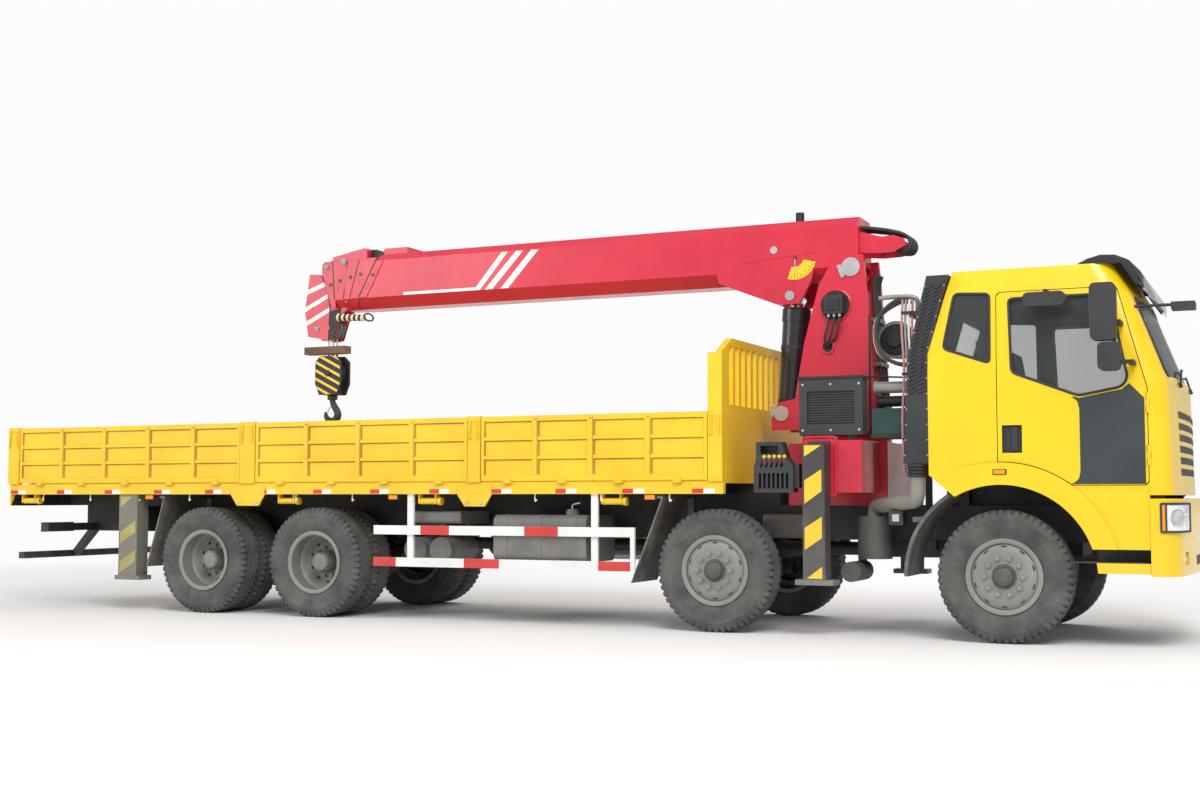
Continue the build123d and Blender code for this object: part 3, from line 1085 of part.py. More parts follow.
# Oil cooler and lever stands on the crane base
COOLER_X = (SLEW_X - 140, SLEW_X + 415)
with BuildPart() as crane_fittings:
    block(COOLER_X, (-1000, -840), (BASE_TOP + 46, BASE_TOP + 530))
    block((COOLER_X[0] + 70, COOLER_X[1] - 70), (-1010, -980), (BASE_TOP + 140, BASE_TOP + 420),
          mode=Mode.SUBTRACT)
    fin_x = (COOLER_X[0] + COOLER_X[1]) / 2
    with Locations(*[(fin_x, -986, BASE_TOP + 158 + 22 * row) for row in range(12)]):
        Box(COOLER_X[1] - COOLER_X[0] - 138, 14, 8)
    for x in (COOLER_X[0] + 110, COOLER_X[1] - 110):
        block((x - 30, x + 30), (-960, -880), (BASE_TOP, BASE_TOP + 46))
    for _, side in SIDES:
        stand = (SLEW_X - 500, SLEW_X - 150)
        side_plate(
            [(stand[0], 1200), (stand[1], 1200), (stand[1], 1420), (stand[1] - 60, 1500),
             (stand[1] - 100, 1630), (stand[0] + 20, 1630), (stand[0] + 20, 1480), (stand[0], 1420)],
            span(side, 1020, 1150),
        )
        # windows of the cage: one wide over a row of slanted and a row of upright slots
        block((stand[0] + 60, stand[1] - 130), span(side, 1060, 1160), (1530, 1600), mode=Mode.SUBTRACT)
        slots = [(stand[0] + 55 + 40 * number, side * 1130, 1300) for number in range(7)]
        with Locations(*slots):
            Box(22, 80, 130, mode=Mode.SUBTRACT)
        slots = [Location((stand[0] + 75 + 45 * number, side * 1130, 1445), (0, 25, 0)) for number in range(5)]
        with Locations(*slots):
            Box(16, 80, 70, mode=Mode.SUBTRACT)
        block((stand[1] - 120, RIGHT_TUBE_X - TUBE_WIDTH / 2), span(side, 900, 980), (1330, 1400))
        block((stand[1] - 120, stand[1] - 40), span(side, 980, 1030), (1330, 1400))
save(crane_fittings.part, "crane_fittings")

# Outrigger beams, each with the tube of its jack
BEAM_GAP = 3
for side_name, side, tube_x in (("right", -1, RIGHT_TUBE_X), ("left", 1, LEFT_TUBE_X)):
    with BuildPart() as outrigger_beam:
        half = TUBE_WIDTH / 2 - TUBE_WALL - BEAM_GAP
        leg_in = LEG_OUT_Y - LEG_DEPTH
        block((tube_x - half, tube_x + half), tuple(sorted((side * leg_in, -side * (TUBE_END_Y - 200)))),
              (TUBE_Z + TUBE_WALL + SEAT_GAP, BASE_TOP - TUBE_WALL - BEAM_GAP))
        block((tube_x - LEG_WIDTH / 2, tube_x + LEG_WIDTH / 2), span(side, leg_in, LEG_OUT_Y),
              (LEG_BOTTOM, LEG_TOP))
        rod((tube_x, side * (LEG_OUT_Y - LEG_DEPTH / 2), (LEG_BOTTOM + FRONT_BORE_TOP) / 2), "z",
            LEG_DEPTH / 2 - LEG_WALL, FRONT_BORE_TOP - LEG_BOTTOM, mode=Mode.SUBTRACT)
    save(outrigger_beam.part, f"outrigger_beam_{side_name}")

# Jack rams with their feet: place X, tube bottom, tube top
for leg_name, side, leg_x, bottom, top in (
    ("front_right", -1, RIGHT_TUBE_X, LEG_BOTTOM, FRONT_BORE_TOP),
    ("front_left", 1, LEFT_TUBE_X, LEG_BOTTOM, FRONT_BORE_TOP),
    ("rear_right", -1, REAR_LEG_X, REAR_LEG_BOTTOM, REAR_BORE_TOP),
    ("rear_left", 1, REAR_LEG_X, REAR_LEG_BOTTOM, REAR_BORE_TOP),
):
    with BuildPart() as jack_leg:
        place = (leg_x, side * (LEG_OUT_Y - LEG_DEPTH / 2))
        ram = LEG_DEPTH / 2 - LEG_WALL - SEAT_GAP
        foot = bottom - 1
        rod(place + ((foot + top - 40) / 2,), "z", ram, top - 40 - foot)
        block((leg_x - FOOT_RADIUS, leg_x + FOOT_RADIUS),
              span(side, LEG_OUT_Y - LEG_DEPTH - 10, LEG_OUT_Y), (foot - FOOT_THICKNESS, foot))
    save(jack_leg.part, f"jack_leg_{leg_name}")

# Slewing column: two side plates about a box, forked at the top for the boom's tail
with BuildPart() as crane_column:
    rod((SLEW_X, 0, SLEW_Z + SEAT_GAP + 30), "z", RING_RADIUS, 60)
    side_plate(
        [(SLEW_X - 380, SLEW_Z + 30), (SLEW_X - 340, SLEW_Z + 270), (PIVOT_X - 310, BOOM_BOTTOM - 130),
         (PIVOT_X + 140, BOOM_BOTTOM - 130), (SLEW_X + 330, SLEW_Z + 30)],
        (-COLUMN_IN_Y, COLUMN_IN_Y),
    )
    for _, side in SIDES:
        plate = span(side, COLUMN_IN_Y, COLUMN_IN_Y + COLUMN_PLATE)
        side_plate(
            [(BARREL_PIN_X - 90, SLEW_Z + 40), (BARREL_PIN_X - 100, BARREL_PIN_Z + 60),
             (BARREL_PIN_X + 20, BARREL_PIN_Z + 110), (SLEW_X - 403, SLEW_Z + 320),
             (SLEW_X - 309, SLEW_Z + 830), (SLEW_X - 171, SLEW_Z + 1340), (PIVOT_X - 150, PIVOT_Z + 110),
             (PIVOT_X + 110, PIVOT_Z + 110), (PIVOT_X + 130, PIVOT_Z - 100), (SLEW_X + 345, SLEW_Z + 30)],
            plate,
        )
        for x, z, radius in ((PIVOT_X, PIVOT_Z, PIVOT_PIN), (BARREL_PIN_X, BARREL_PIN_Z, CYLINDER_PIN)):
            pin = span(side, COLUMN_IN_Y - 60, COLUMN_IN_Y + COLUMN_PLATE + 18)
            rod((x, sum(pin) / 2, z), "y", radius, pin[1] - pin[0])
            cap = span(side, COLUMN_IN_Y + COLUMN_PLATE, COLUMN_IN_Y + COLUMN_PLATE + 14)
            rod((x, sum(cap) / 2, z), "y", radius + 24, cap[1] - cap[0])
    rod((BARREL_PIN_X, 0, BARREL_PIN_Z), "y", CYLINDER_PIN, 2 * COLUMN_IN_Y)
save(crane_column.part, "crane_column")

# Luffing cylinder: barrel on the column's foot pin, rod up to the boom's lug
LUFF_LEAN = math.degrees(math.atan2(ROD_EYE_X - BARREL_PIN_X, ROD_EYE_Z - BARREL_PIN_Z))
LUFF_LENGTH = math.hypot(ROD_EYE_X - BARREL_PIN_X, ROD_EYE_Z - BARREL_PIN_Z)
LUFF_AXIS = Plane(
    origin=(BARREL_PIN_X, 0, BARREL_PIN_Z), x_dir=(0, 1, 0),
    z_dir=(ROD_EYE_X - BARREL_PIN_X, 0, ROD_EYE_Z - BARREL_PIN_Z),
)
BARREL_END = LUFF_LENGTH - 90
BARREL_BORE = 100
with BuildPart() as luff_barrel:
    with Locations(LUFF_AXIS.location):
        with Locations((0, 0, 75)):
            Cylinder(BARREL_RADIUS, BARREL_END - 75, align=(Align.CENTER, Align.CENTER, Align.MIN))
        with Locations((0, 0, 130)):
            Cylinder(BARREL_BORE, BARREL_END - 130 - 30, align=(Align.CENTER, Align.CENTER, Align.MIN),
                     mode=Mode.SUBTRACT)
        Cylinder(ROD_RADIUS + SEAT_GAP, BARREL_END + 10, align=(Align.CENTER, Align.CENTER, Align.MIN),
                 mode=Mode.SUBTRACT)
        with Locations((0, 0, 75)):
            Cylinder(ROD_RADIUS + 10, 60, align=(Align.CENTER, Align.CENTER, Align.MIN))
    rod((BARREL_PIN_X, 0, BARREL_PIN_Z), "y", 85, 180)
    rod((BARREL_PIN_X, 0, BARREL_PIN_Z), "y", CYLINDER_PIN + SEAT_GAP, 220, mode=Mode.SUBTRACT)
save(luff_barrel.part, "luff_barrel")

ROD_EYE = 72
EYE_WIDTH = 112
with BuildPart() as luff_rod:
    with Locations(LUFF_AXIS.location):
        with Locations((0, 0, 136)):
            Cylinder(BARREL_BORE - SEAT_GAP, 40, align=(Align.CENTER, Align.CENTER, Align.MIN))
        with Locations((0, 0, 150)):
            Cylinder(ROD_RADIUS, LUFF_LENGTH - 150 - 40, align=(Align.CENTER, Align.CENTER, Align.MIN))
    rod((ROD_EYE_X, 0, ROD_EYE_Z), "y", ROD_EYE, EYE_WIDTH)
save(luff_rod.part, "luff_rod")

# Boom base section: a many-sided tube with the belly that carries the rod's lug plates
BOOM_TOP = BOOM_BOTTOM + BOOM_HEIGHT
LUG_FRONT_X = 1790
LUG_ROOT_Z = BOOM_BOTTOM + 130
LUG_PLATE = 45
LUG_DROP = 75
with BuildPart() as boom_base:
    extrude(boom_outline(BOOM_END_X, 0), amount=BOOM_TAIL_X - BOOM_END_X)
    extrude(boom_outline(BOOM_END_X - 10, BOOM_WALL), amount=BOOM_TAIL_X - 120 - BOOM_END_X,
            mode=Mode.SUBTRACT)
    side_plate(
        [(BOOM_END_X - 20, BOOM_BOTTOM - 10), (BOOM_END_X, BOOM_BOTTOM - 10),
         (BOOM_END_X + BOOM_SLANT, BOOM_TOP + 10), (BOOM_END_X - 20, BOOM_TOP + 10)],
        (-400, 400), mode=Mode.SUBTRACT,
    )
    for _, side in SIDES:
        side_plate(
            [(LUG_FRONT_X, LUG_ROOT_Z), (LUG_FRONT_X + 30, BOOM_BOTTOM + 20),
             (ROD_EYE_X - 120, ROD_EYE_Z - LUG_DROP), (ROD_EYE_X + 80, ROD_EYE_Z - LUG_DROP),
             (ROD_EYE_X + 210, BOOM_BOTTOM + 20), (ROD_EYE_X + 230, LUG_ROOT_Z)],
            span(side, BOOM_HALF - LUG_PLATE, BOOM_HALF),
        )
    # clear the nested sections above the lug plates
    extrude(boom_outline(1700, BOOM_WALL), amount=1200, mode=Mode.SUBTRACT)
    for _, side in SIDES:
        stub = span(side, EYE_WIDTH / 2 + 8, BOOM_HALF + 12)
        rod((ROD_EYE_X, sum(stub) / 2, ROD_EYE_Z), "y", CYLINDER_PIN, stub[1] - stub[0])
    rod((PIVOT_X, 0, PIVOT_Z), "y", PIVOT_PIN + SEAT_GAP, 600, mode=Mode.SUBTRACT)
    block((BOOM_END_X + BOOM_SLANT + 5, BOOM_END_X + BOOM_SLANT + 290), (-150, 150),
          (BOOM_TOP - 5, BOOM_TOP + 66))
    rod((SLEW_X - 430, 0, BOOM_TOP + 55), "z", 40, 110)
    # slide pads for the next section
    block((BOOM_END_X + 40, BOOM_END_X + 140), (-90, 90),
          (BOOM_BOTTOM + BOOM_WALL - 1, BOOM_BOTTOM + BOOM_NEST - SEAT_GAP))
save(boom_base.part, "boom_base")

# Telescoping sections: nested tubes, each with slide pads for the next, the last with the boom head
SECTIONS = 4
for index in range(1, SECTIONS + 1):
    inset = index * BOOM_NEST
    slant = BOOM_SLANT * (1 - index / (SECTIONS + 1))
    end = BOOM_END_X - index * SECTION_STEP
    tail = BOOM_TAIL_X - 160 - index * SECTION_STEP
    with BuildPart() as boom_section:
        extrude(boom_outline(end, inset), amount=tail - end)
        extrude(boom_outline(end - 10, inset + BOOM_WALL), amount=tail - end - 20, mode=Mode.SUBTRACT)
        side_plate(
            [(end - 20, BOOM_BOTTOM), (end, BOOM_BOTTOM), (end + slant, BOOM_TOP), (end - 20, BOOM_TOP)],
            (-400, 400), mode=Mode.SUBTRACT,
        )
        if index < SECTIONS:
            block((end + 40, end + 140), (-60, 60),
                  (BOOM_BOTTOM + inset + BOOM_WALL - 1, BOOM_BOTTOM + inset + BOOM_NEST - SEAT_GAP))
        else:
            for _, side in SIDES:
                plate = span(side, HEAD_PLATE_GAP, HEAD_PLATE_GAP + HEAD_PLATE)
                side_plate(
                    [(end + 60, BOOM_BOTTOM + inset + 5), (end + 60, BOOM_TOP - inset - 5),
                     (-2560, BOOM_TOP - 40), (-2784, 3520), (-2784, 2870), (-2740, 2825),
                     (-2620, 2825), (-2520, 3080)],
                    plate,
                )
            block((end, end + 40), (-HEAD_PLATE_GAP - 100, HEAD_PLATE_GAP + 100),
                  (BOOM_BOTTOM + inset, BOOM_TOP - inset - 30))
            for x, z, radius in ((HOOK_PIN_X, HOOK_PIN_Z, HEAD_SHEAVE), (-2620, 3560, 130)):
                sheave((x, 0, z), radius, HEAD_PLATE_GAP)
                rod((x, 0, z), "y", 30, 2 * (HEAD_PLATE_GAP + HEAD_PLATE) + 30)
    save(boom_section.part, f"boom_section_{index + 1}")

# Hook block on its rope falls, below the lower sheave of the boom head
BAR_Z = (2690, 2770)
BLOCK_Z = (2250, 2665)
BLOCK_X = (HOOK_PIN_X - 160, HOOK_PIN_X + 160)
SWIVEL_Z = 2245
BLOCK_SHEAVE = 125
BLOCK_SHEAVE_Z = 2480
with BuildPart() as hook_block:
    for x in (-25, 25):
        for y in (-ROPE_Y, ROPE_Y):
            top = HOOK_PIN_Z - math.sqrt((HEAD_SHEAVE - GROOVE + 0.6) ** 2 - (abs(x) - ROPE_RADIUS) ** 2)
            foot = BLOCK_SHEAVE_Z + BLOCK_SHEAVE - 40
            rod((HOOK_PIN_X + x, y, (foot + top) / 2), "z", ROPE_RADIUS, top - foot)
    block((HOOK_PIN_X - 330, HOOK_PIN_X + 190), (-60, 60), BAR_Z)
    sheave((HOOK_PIN_X, 0, BLOCK_SHEAVE_Z), BLOCK_SHEAVE, 66)
    rod((HOOK_PIN_X, 0, BLOCK_SHEAVE_Z), "y", 32, 216)
    for _, side in SIDES:
        side_plate(
            [(BLOCK_X[0] + 50, BLOCK_Z[0]), (BLOCK_X[1] - 50, BLOCK_Z[0]), (BLOCK_X[1], BLOCK_Z[0] + 120),
             (BLOCK_X[1], BLOCK_Z[1] - 60), (BLOCK_X[1] - 60, BLOCK_Z[1]), (BLOCK_X[0] + 60, BLOCK_Z[1]),
             (BLOCK_X[0], BLOCK_Z[1] - 60), (BLOCK_X[0], BLOCK_Z[0] + 120)],
            span(side, 66, 95),
        )
    block((HOOK_PIN_X - 90, HOOK_PIN_X + 90), (-70, 70), (BLOCK_Z[0], BLOCK_Z[0] + 80))
save(hook_block.part, "hook_block")

# Hook: shank and a round bend with a tapered point
HOOK_BEND = 75
HOOK_BAR = 34
with BuildPart() as hook:
    rod((HOOK_PIN_X, 0, SWIVEL_Z - 20), "z", 55, 50)
    rod((HOOK_PIN_X, 0, SWIVEL_Z - 70), "z", 26, 100)
    bend_z = SWIVEL_Z - 130 - HOOK_BEND
    with BuildLine() as bend:
        ThreePointArc(
            (HOOK_PIN_X, 0, bend_z + HOOK_BEND + 20),
            (HOOK_PIN_X + 0.6 * HOOK_BEND, 0, bend_z - 0.5 * HOOK_BEND),
            (HOOK_PIN_X - HOOK_BEND, 0, bend_z),
        )
    with BuildSketch(Plane(origin=bend.line @ 0, z_dir=bend.line % 0)) as section:
        Circle(HOOK_BAR / 2 + 8)
    sweep(section.sketch, path=bend.line)
save(hook.part, "hook")
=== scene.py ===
"""Dressed scene of the truck-mounted crane: finishes, small parts, studio and camera."""
import math

import bmesh
import bpy
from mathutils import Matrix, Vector


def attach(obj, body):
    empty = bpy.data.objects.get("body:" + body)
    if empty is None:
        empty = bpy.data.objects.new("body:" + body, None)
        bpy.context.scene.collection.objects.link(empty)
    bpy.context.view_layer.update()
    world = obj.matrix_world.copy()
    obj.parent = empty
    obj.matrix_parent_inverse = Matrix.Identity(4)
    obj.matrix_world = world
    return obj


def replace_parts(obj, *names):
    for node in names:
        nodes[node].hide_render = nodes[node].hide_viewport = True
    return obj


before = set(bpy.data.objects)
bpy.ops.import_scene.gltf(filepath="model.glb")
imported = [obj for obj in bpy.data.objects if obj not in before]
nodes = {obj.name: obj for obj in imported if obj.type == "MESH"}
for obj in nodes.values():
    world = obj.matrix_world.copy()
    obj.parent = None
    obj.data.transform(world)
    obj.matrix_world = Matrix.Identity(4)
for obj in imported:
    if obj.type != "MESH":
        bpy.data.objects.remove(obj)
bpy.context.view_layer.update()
scene = bpy.context.scene
SIDES = (("right", -1), ("left", 1))


def polar(radius, degrees):
    """The two offsets of a place at a radius and a turn."""
    angle = math.radians(degrees)
    return radius * math.cos(angle), radius * math.sin(angle)


def wired(tree, node, values, links=None):
    """A shader node, there already or made from its kind, with some inputs set and others linked."""
    if isinstance(node, str):
        node = tree.nodes.new(node)
    for socket, value in values.items():
        node.inputs[socket].default_value = value
    for socket, source in (links or {}).items():
        tree.links.new(source, node.inputs[socket])
    return node


def mixed(tree, factor, first, second):
    """A colour mix node of two colours or sockets."""
    node = tree.nodes.new("ShaderNodeMix")
    node.data_type = "RGBA"
    tree.links.new(factor, node.inputs["Factor"])
    for value, socket in ((first, node.inputs[6]), (second, node.inputs[7])):
        if isinstance(value, tuple):
            socket.default_value = (*value, 1.0)
        else:
            tree.links.new(value, socket)
    return node.outputs[2]


def ramp(tree, value, low, high, top=1.0):
    """A value carried from low..high to 0..top, held at both ends."""
    span = {"From Min": low, "From Max": high, "To Min": 0.0, "To Max": top}
    node = wired(tree, "ShaderNodeMapRange", span, {"Value": value})
    node.interpolation_type = "SMOOTHSTEP"
    return node.outputs["Result"]


def noise(tree, coordinate, scale, detail, rough=0.55):
    """A noise value over a coordinate."""
    values = {"Scale": scale, "Detail": detail, "Roughness": rough}
    return wired(tree, "ShaderNodeTexNoise", values, {"Vector": coordinate}).outputs["Fac"]


# scale, detail and, where it isn't the usual one, roughness of the noise in a finish
DRIFT_NOISE = (1.7, 6.0)
SPECK_NOISE = (23.0, 8.0, 0.7)
DUST_NOISE = (4.5, 8.0, 0.65)
GLOSS_NOISE = (6.0, 5.0)
GRAIN_DETAIL = 3.0
GRAIN_DEPTH = 0.004
PALE_LIFT = 0.004
DUST_FOOT = 0.2
COAT_ROUGH = 0.08
ROUGH_MIN = 0.03


def finish(name, colour, rough=0.4, metal=0.0, drift=0.12, dust=0.0, dust_top=1.6, grain=60.0, bump=0.03,
           coat=0.0, dust_colour=(0.36, 0.33, 0.29), wear=0.0, wear_colour=(0.2, 0.12, 0.07), alpha=1.0,
           rough_drift=0.12):
    """A surface whose colour drifts a little, with dust low down, worn specks and a fine grain."""
    material = bpy.data.materials.new(name)
    material.use_nodes = True
    tree = material.node_tree
    where = tree.nodes.new("ShaderNodeTexCoord").outputs["Object"]
    dark = tuple(channel * (1.0 - drift) for channel in colour)
    pale = tuple(min(1.0, channel * (1.0 + drift) + PALE_LIFT) for channel in colour)
    shade = mixed(tree, ramp(tree, noise(tree, where, *DRIFT_NOISE), 0.3, 0.7), dark, pale)
    if wear:
        specks = ramp(tree, noise(tree, where, *SPECK_NOISE), 0.62, 0.74, wear)
        shade = mixed(tree, specks, shade, wear_colour)
    if dust:
        height = wired(tree, "ShaderNodeSeparateXYZ", {}, {0: where}).outputs["Z"]
        low = ramp(tree, height, dust_top, DUST_FOOT, dust)
        cloud = ramp(tree, noise(tree, where, *DUST_NOISE), 0.25, 0.75)
        share = wired(tree, "ShaderNodeMath", {}, {0: low, 1: cloud})
        share.operation = "MULTIPLY"
        shade = mixed(tree, share.outputs[0], shade, dust_colour)
    span = {"To Min": max(ROUGH_MIN, rough - rough_drift), "To Max": min(1.0, rough + rough_drift)}
    gloss = wired(tree, "ShaderNodeMapRange", span, {"Value": noise(tree, where, *GLOSS_NOISE)})
    links = {"Base Color": shade, "Roughness": gloss.outputs["Result"]}
    if bump:
        height = noise(tree, where, grain, GRAIN_DETAIL)
        values = {"Strength": bump, "Distance": GRAIN_DEPTH}
        relief = wired(tree, "ShaderNodeBump", values, {"Height": height})
        links["Normal"] = relief.outputs["Normal"]
    values = {"Metallic": metal, "Coat Weight": coat, "Coat Roughness": COAT_ROUGH, "Alpha": alpha}
    wired(tree, tree.nodes["Principled BSDF"], values, links)
    return material


YELLOW = finish("cab_yellow", (0.83, 0.555, 0.002), 0.32, drift=0.03, coat=0.3, bump=0.008, dust=0.1,
                dust_top=1.0)
BED_YELLOW = finish("bed_yellow", (0.8, 0.52, 0.014), 0.45, drift=0.07, dust=0.1, dust_top=1.5, bump=0.02,
                    wear=0.06)
# brown for the creases of the side boards: painted shade in the recesses and grooves, with dirt
CREASE_SHADE_AND_DIRT = finish("crease_shade_and_dirt", (0.4, 0.22, 0.02), 0.7, drift=0.2)
RED = finish("crane_red", (0.57, 0.012, 0.04), 0.34, drift=0.07, coat=0.35, bump=0.012, dust=0.12)
CHARCOAL = finish("charcoal", (0.028, 0.036, 0.04), 0.35, coat=0.2, drift=0.1)
BLACK = finish("black_steel", (0.011, 0.011, 0.013), 0.5, dust=0.22, dust_top=1.3)
GLOSS = finish("black_gloss", (0.008, 0.007, 0.01), 0.3, coat=0.3, drift=0.15)
GREY = finish("grey_steel", (0.12, 0.12, 0.118), 0.5, dust=0.5, dust_top=1.5, wear=0.15)
PLASTIC = finish("black_plastic", (0.022, 0.023, 0.025), 0.6, dust=0.35, dust_top=1.3, bump=0.05, grain=220.0)
TYRE = finish("tyre_rubber", (0.05, 0.05, 0.048), 0.85, drift=0.2, dust=0.75, dust_top=3.5,
              dust_colour=(0.15, 0.148, 0.138), bump=0.08, grain=90.0)
RIM = finish("rim_grey", (0.25, 0.25, 0.235), 0.55, metal=0.2, drift=0.16, dust=0.6, dust_top=3.0,
             dust_colour=(0.24, 0.235, 0.21), wear=0.2)
WHITE = finish("guard_white", (0.78, 0.78, 0.76), 0.42, drift=0.05, dust=0.2, dust_top=1.3)
TAPE_RED = finish("tape_red", (0.6, 0.03, 0.025), 0.4, drift=0.1, dust=0.15)
CHROME = finish("chrome", (0.72, 0.72, 0.73), 0.12, metal=1.0, drift=0.06, rough_drift=0.06, bump=0.0)
SILVER = finish("silver_steel", (0.55, 0.55, 0.55), 0.35, metal=0.8, drift=0.12)
RUST = finish("rusty_iron", (0.13, 0.075, 0.05), 0.8, drift=0.3, wear=0.5)
GLASS = finish("window_glass", (0.09, 0.1, 0.105), 0.05, alpha=0.24, coat=0.6, drift=0.05, rough_drift=0.03,
               bump=0.0)
SMOKED = finish("smoked_visor", (0.014, 0.017, 0.02), 0.1, alpha=0.93, coat=0.8, rough_drift=0.04, bump=0.0)
LENS = finish("lamp_lens", (0.75, 0.77, 0.78), 0.1, coat=0.8, drift=0.08, rough_drift=0.06, bump=0.0)
AMBER = finish("amber_lens", (0.85, 0.28, 0.01), 0.18, coat=0.6, drift=0.1)
RED_LENS = finish("red_lens", (0.5, 0.01, 0.012), 0.2, coat=0.6, drift=0.1)
CLOTH = finish("seat_cloth", (0.09, 0.092, 0.1), 0.9, drift=0.2, bump=0.3, grain=400.0)
# near black for the inside of the cab: dark trim, darkened further as painted shade under the roof
DASH_AND_CAB_SHADE = finish("dash_grey_and_cab_shade", (0.03, 0.031, 0.036), 0.7, drift=0.1, bump=0.1, grain=300.0)
MIRROR = finish("mirror_silver", (0.85, 0.86, 0.87), 0.04, metal=1.0, drift=0.03, rough_drift=0.02, bump=0.0)
LEG = finish("leg_grey", (0.05, 0.048, 0.048), 0.5, dust=0.3, dust_top=1.6, wear=0.1)
OLIVE = finish("leg_olive", (0.17, 0.165, 0.13), 0.6, dust=0.3, dust_top=1.6, wear=0.15)
FADED = finish("faded_yellow", (0.4, 0.34, 0.12), 0.6, drift=0.15, wear=0.3, wear_colour=(0.2, 0.19, 0.14))
HOOK_IRON = finish("hook_iron", (0.045, 0.044, 0.043), 0.55, metal=0.4, drift=0.25, wear=0.3)
CREAM = finish("cream_cord", (0.72, 0.68, 0.45), 0.7, drift=0.1)
PINK = finish("line_pink", (0.48, 0.22, 0.22), 0.55, drift=0.2)
# a darker crimson copy of the crane red for faces turned downwards: painted shade
RED_UNDERSIDE_SHADE = finish("crane_red_underside_shade", (0.5, 0.006, 0.05), 0.34, drift=0.07, coat=0.35, bump=0.012)
FENDER = finish("fender_rubber", (0.05, 0.049, 0.047), 0.65, drift=0.15, dust=0.6, dust_top=2.2, bump=0.03)
TEAL = finish("tank_teal", (0.012, 0.045, 0.045), 0.4, drift=0.15)
COOLER = finish("cooler_grey", (0.03, 0.031, 0.031), 0.5, drift=0.12, wear=0.1)
HUB = finish("hub_grey", (0.1, 0.1, 0.094), 0.55, metal=0.2, drift=0.2, dust=0.5, dust_top=3.0,
             dust_colour=(0.13, 0.125, 0.11))
NUT = finish("wheel_nut", (0.34, 0.33, 0.3), 0.5, metal=0.5, drift=0.15, dust=0.3, dust_top=3.0)
KNOB = finish("signal_yellow", (0.84, 0.55, 0.03), 0.4, drift=0.06, dust=0.1)
PIPE = finish("intake_grey", (0.23, 0.215, 0.19), 0.6, drift=0.15, dust=0.4, dust_top=1.6)

CAD_FINISH = {
    "chassis_frame": BLACK, "front_axles": BLACK, "rear_bogie": BLACK, "driveline": BLACK, "side_tanks": GREY,
    "side_guards": WHITE, "mudguards": FENDER, "front_bumper": YELLOW, "lamps": LENS, "bed_floor": BED_YELLOW,
    "bed_headboard": BED_YELLOW, "bed_posts": BED_YELLOW, "crane_base": RED, "crane_fittings": COOLER,
    "cab_shell": YELLOW, "cab_glass": GLASS, "cab_interior": CLOTH, "cab_trim": PLASTIC,
    "tailgate": BED_YELLOW, "crane_column": RED, "luff_barrel": GLOSS, "luff_rod": CHROME, "boom_base": RED,
    "hook_block": RED, "hook": GREY,
}
# finishes of the other nodes by the start of their names; the first match counts
START_FINISH = (
    ("boom_section", RED), ("board_", BED_YELLOW), ("knuckle", BLACK), ("wheel", TYRE),
    ("outrigger_beam", LEG), ("jack_leg_rear", OLIVE), ("jack_leg", GREY), ("door_right_glass", GLASS),
    ("door_left_glass", GLASS), ("door_right_mirrors", PLASTIC), ("door_left_mirrors", PLASTIC),
    ("door", YELLOW),
)
for name, node in nodes.items():
    matches = [surface for start, surface in START_FINISH if name.startswith(start)]
    node.data.materials.clear()
    node.data.materials.append(CAD_FINISH.get(name) or matches[0])

AXES = {"x": lambda a, b, d: (d, a, b), "y": lambda a, b, d: (a, d, b), "z": lambda a, b, d: (a, b, d)}
# degrees between faces: an edge is sharp from the first, and a bevel cuts it from the second
SHARP_FROM = 35
BEVEL_FROM = 40


def rectangle(a, b):
    """The four corners of two spans."""
    return [(a[0], b[0]), (a[1], b[0]), (a[1], b[1]), (a[0], b[1])]


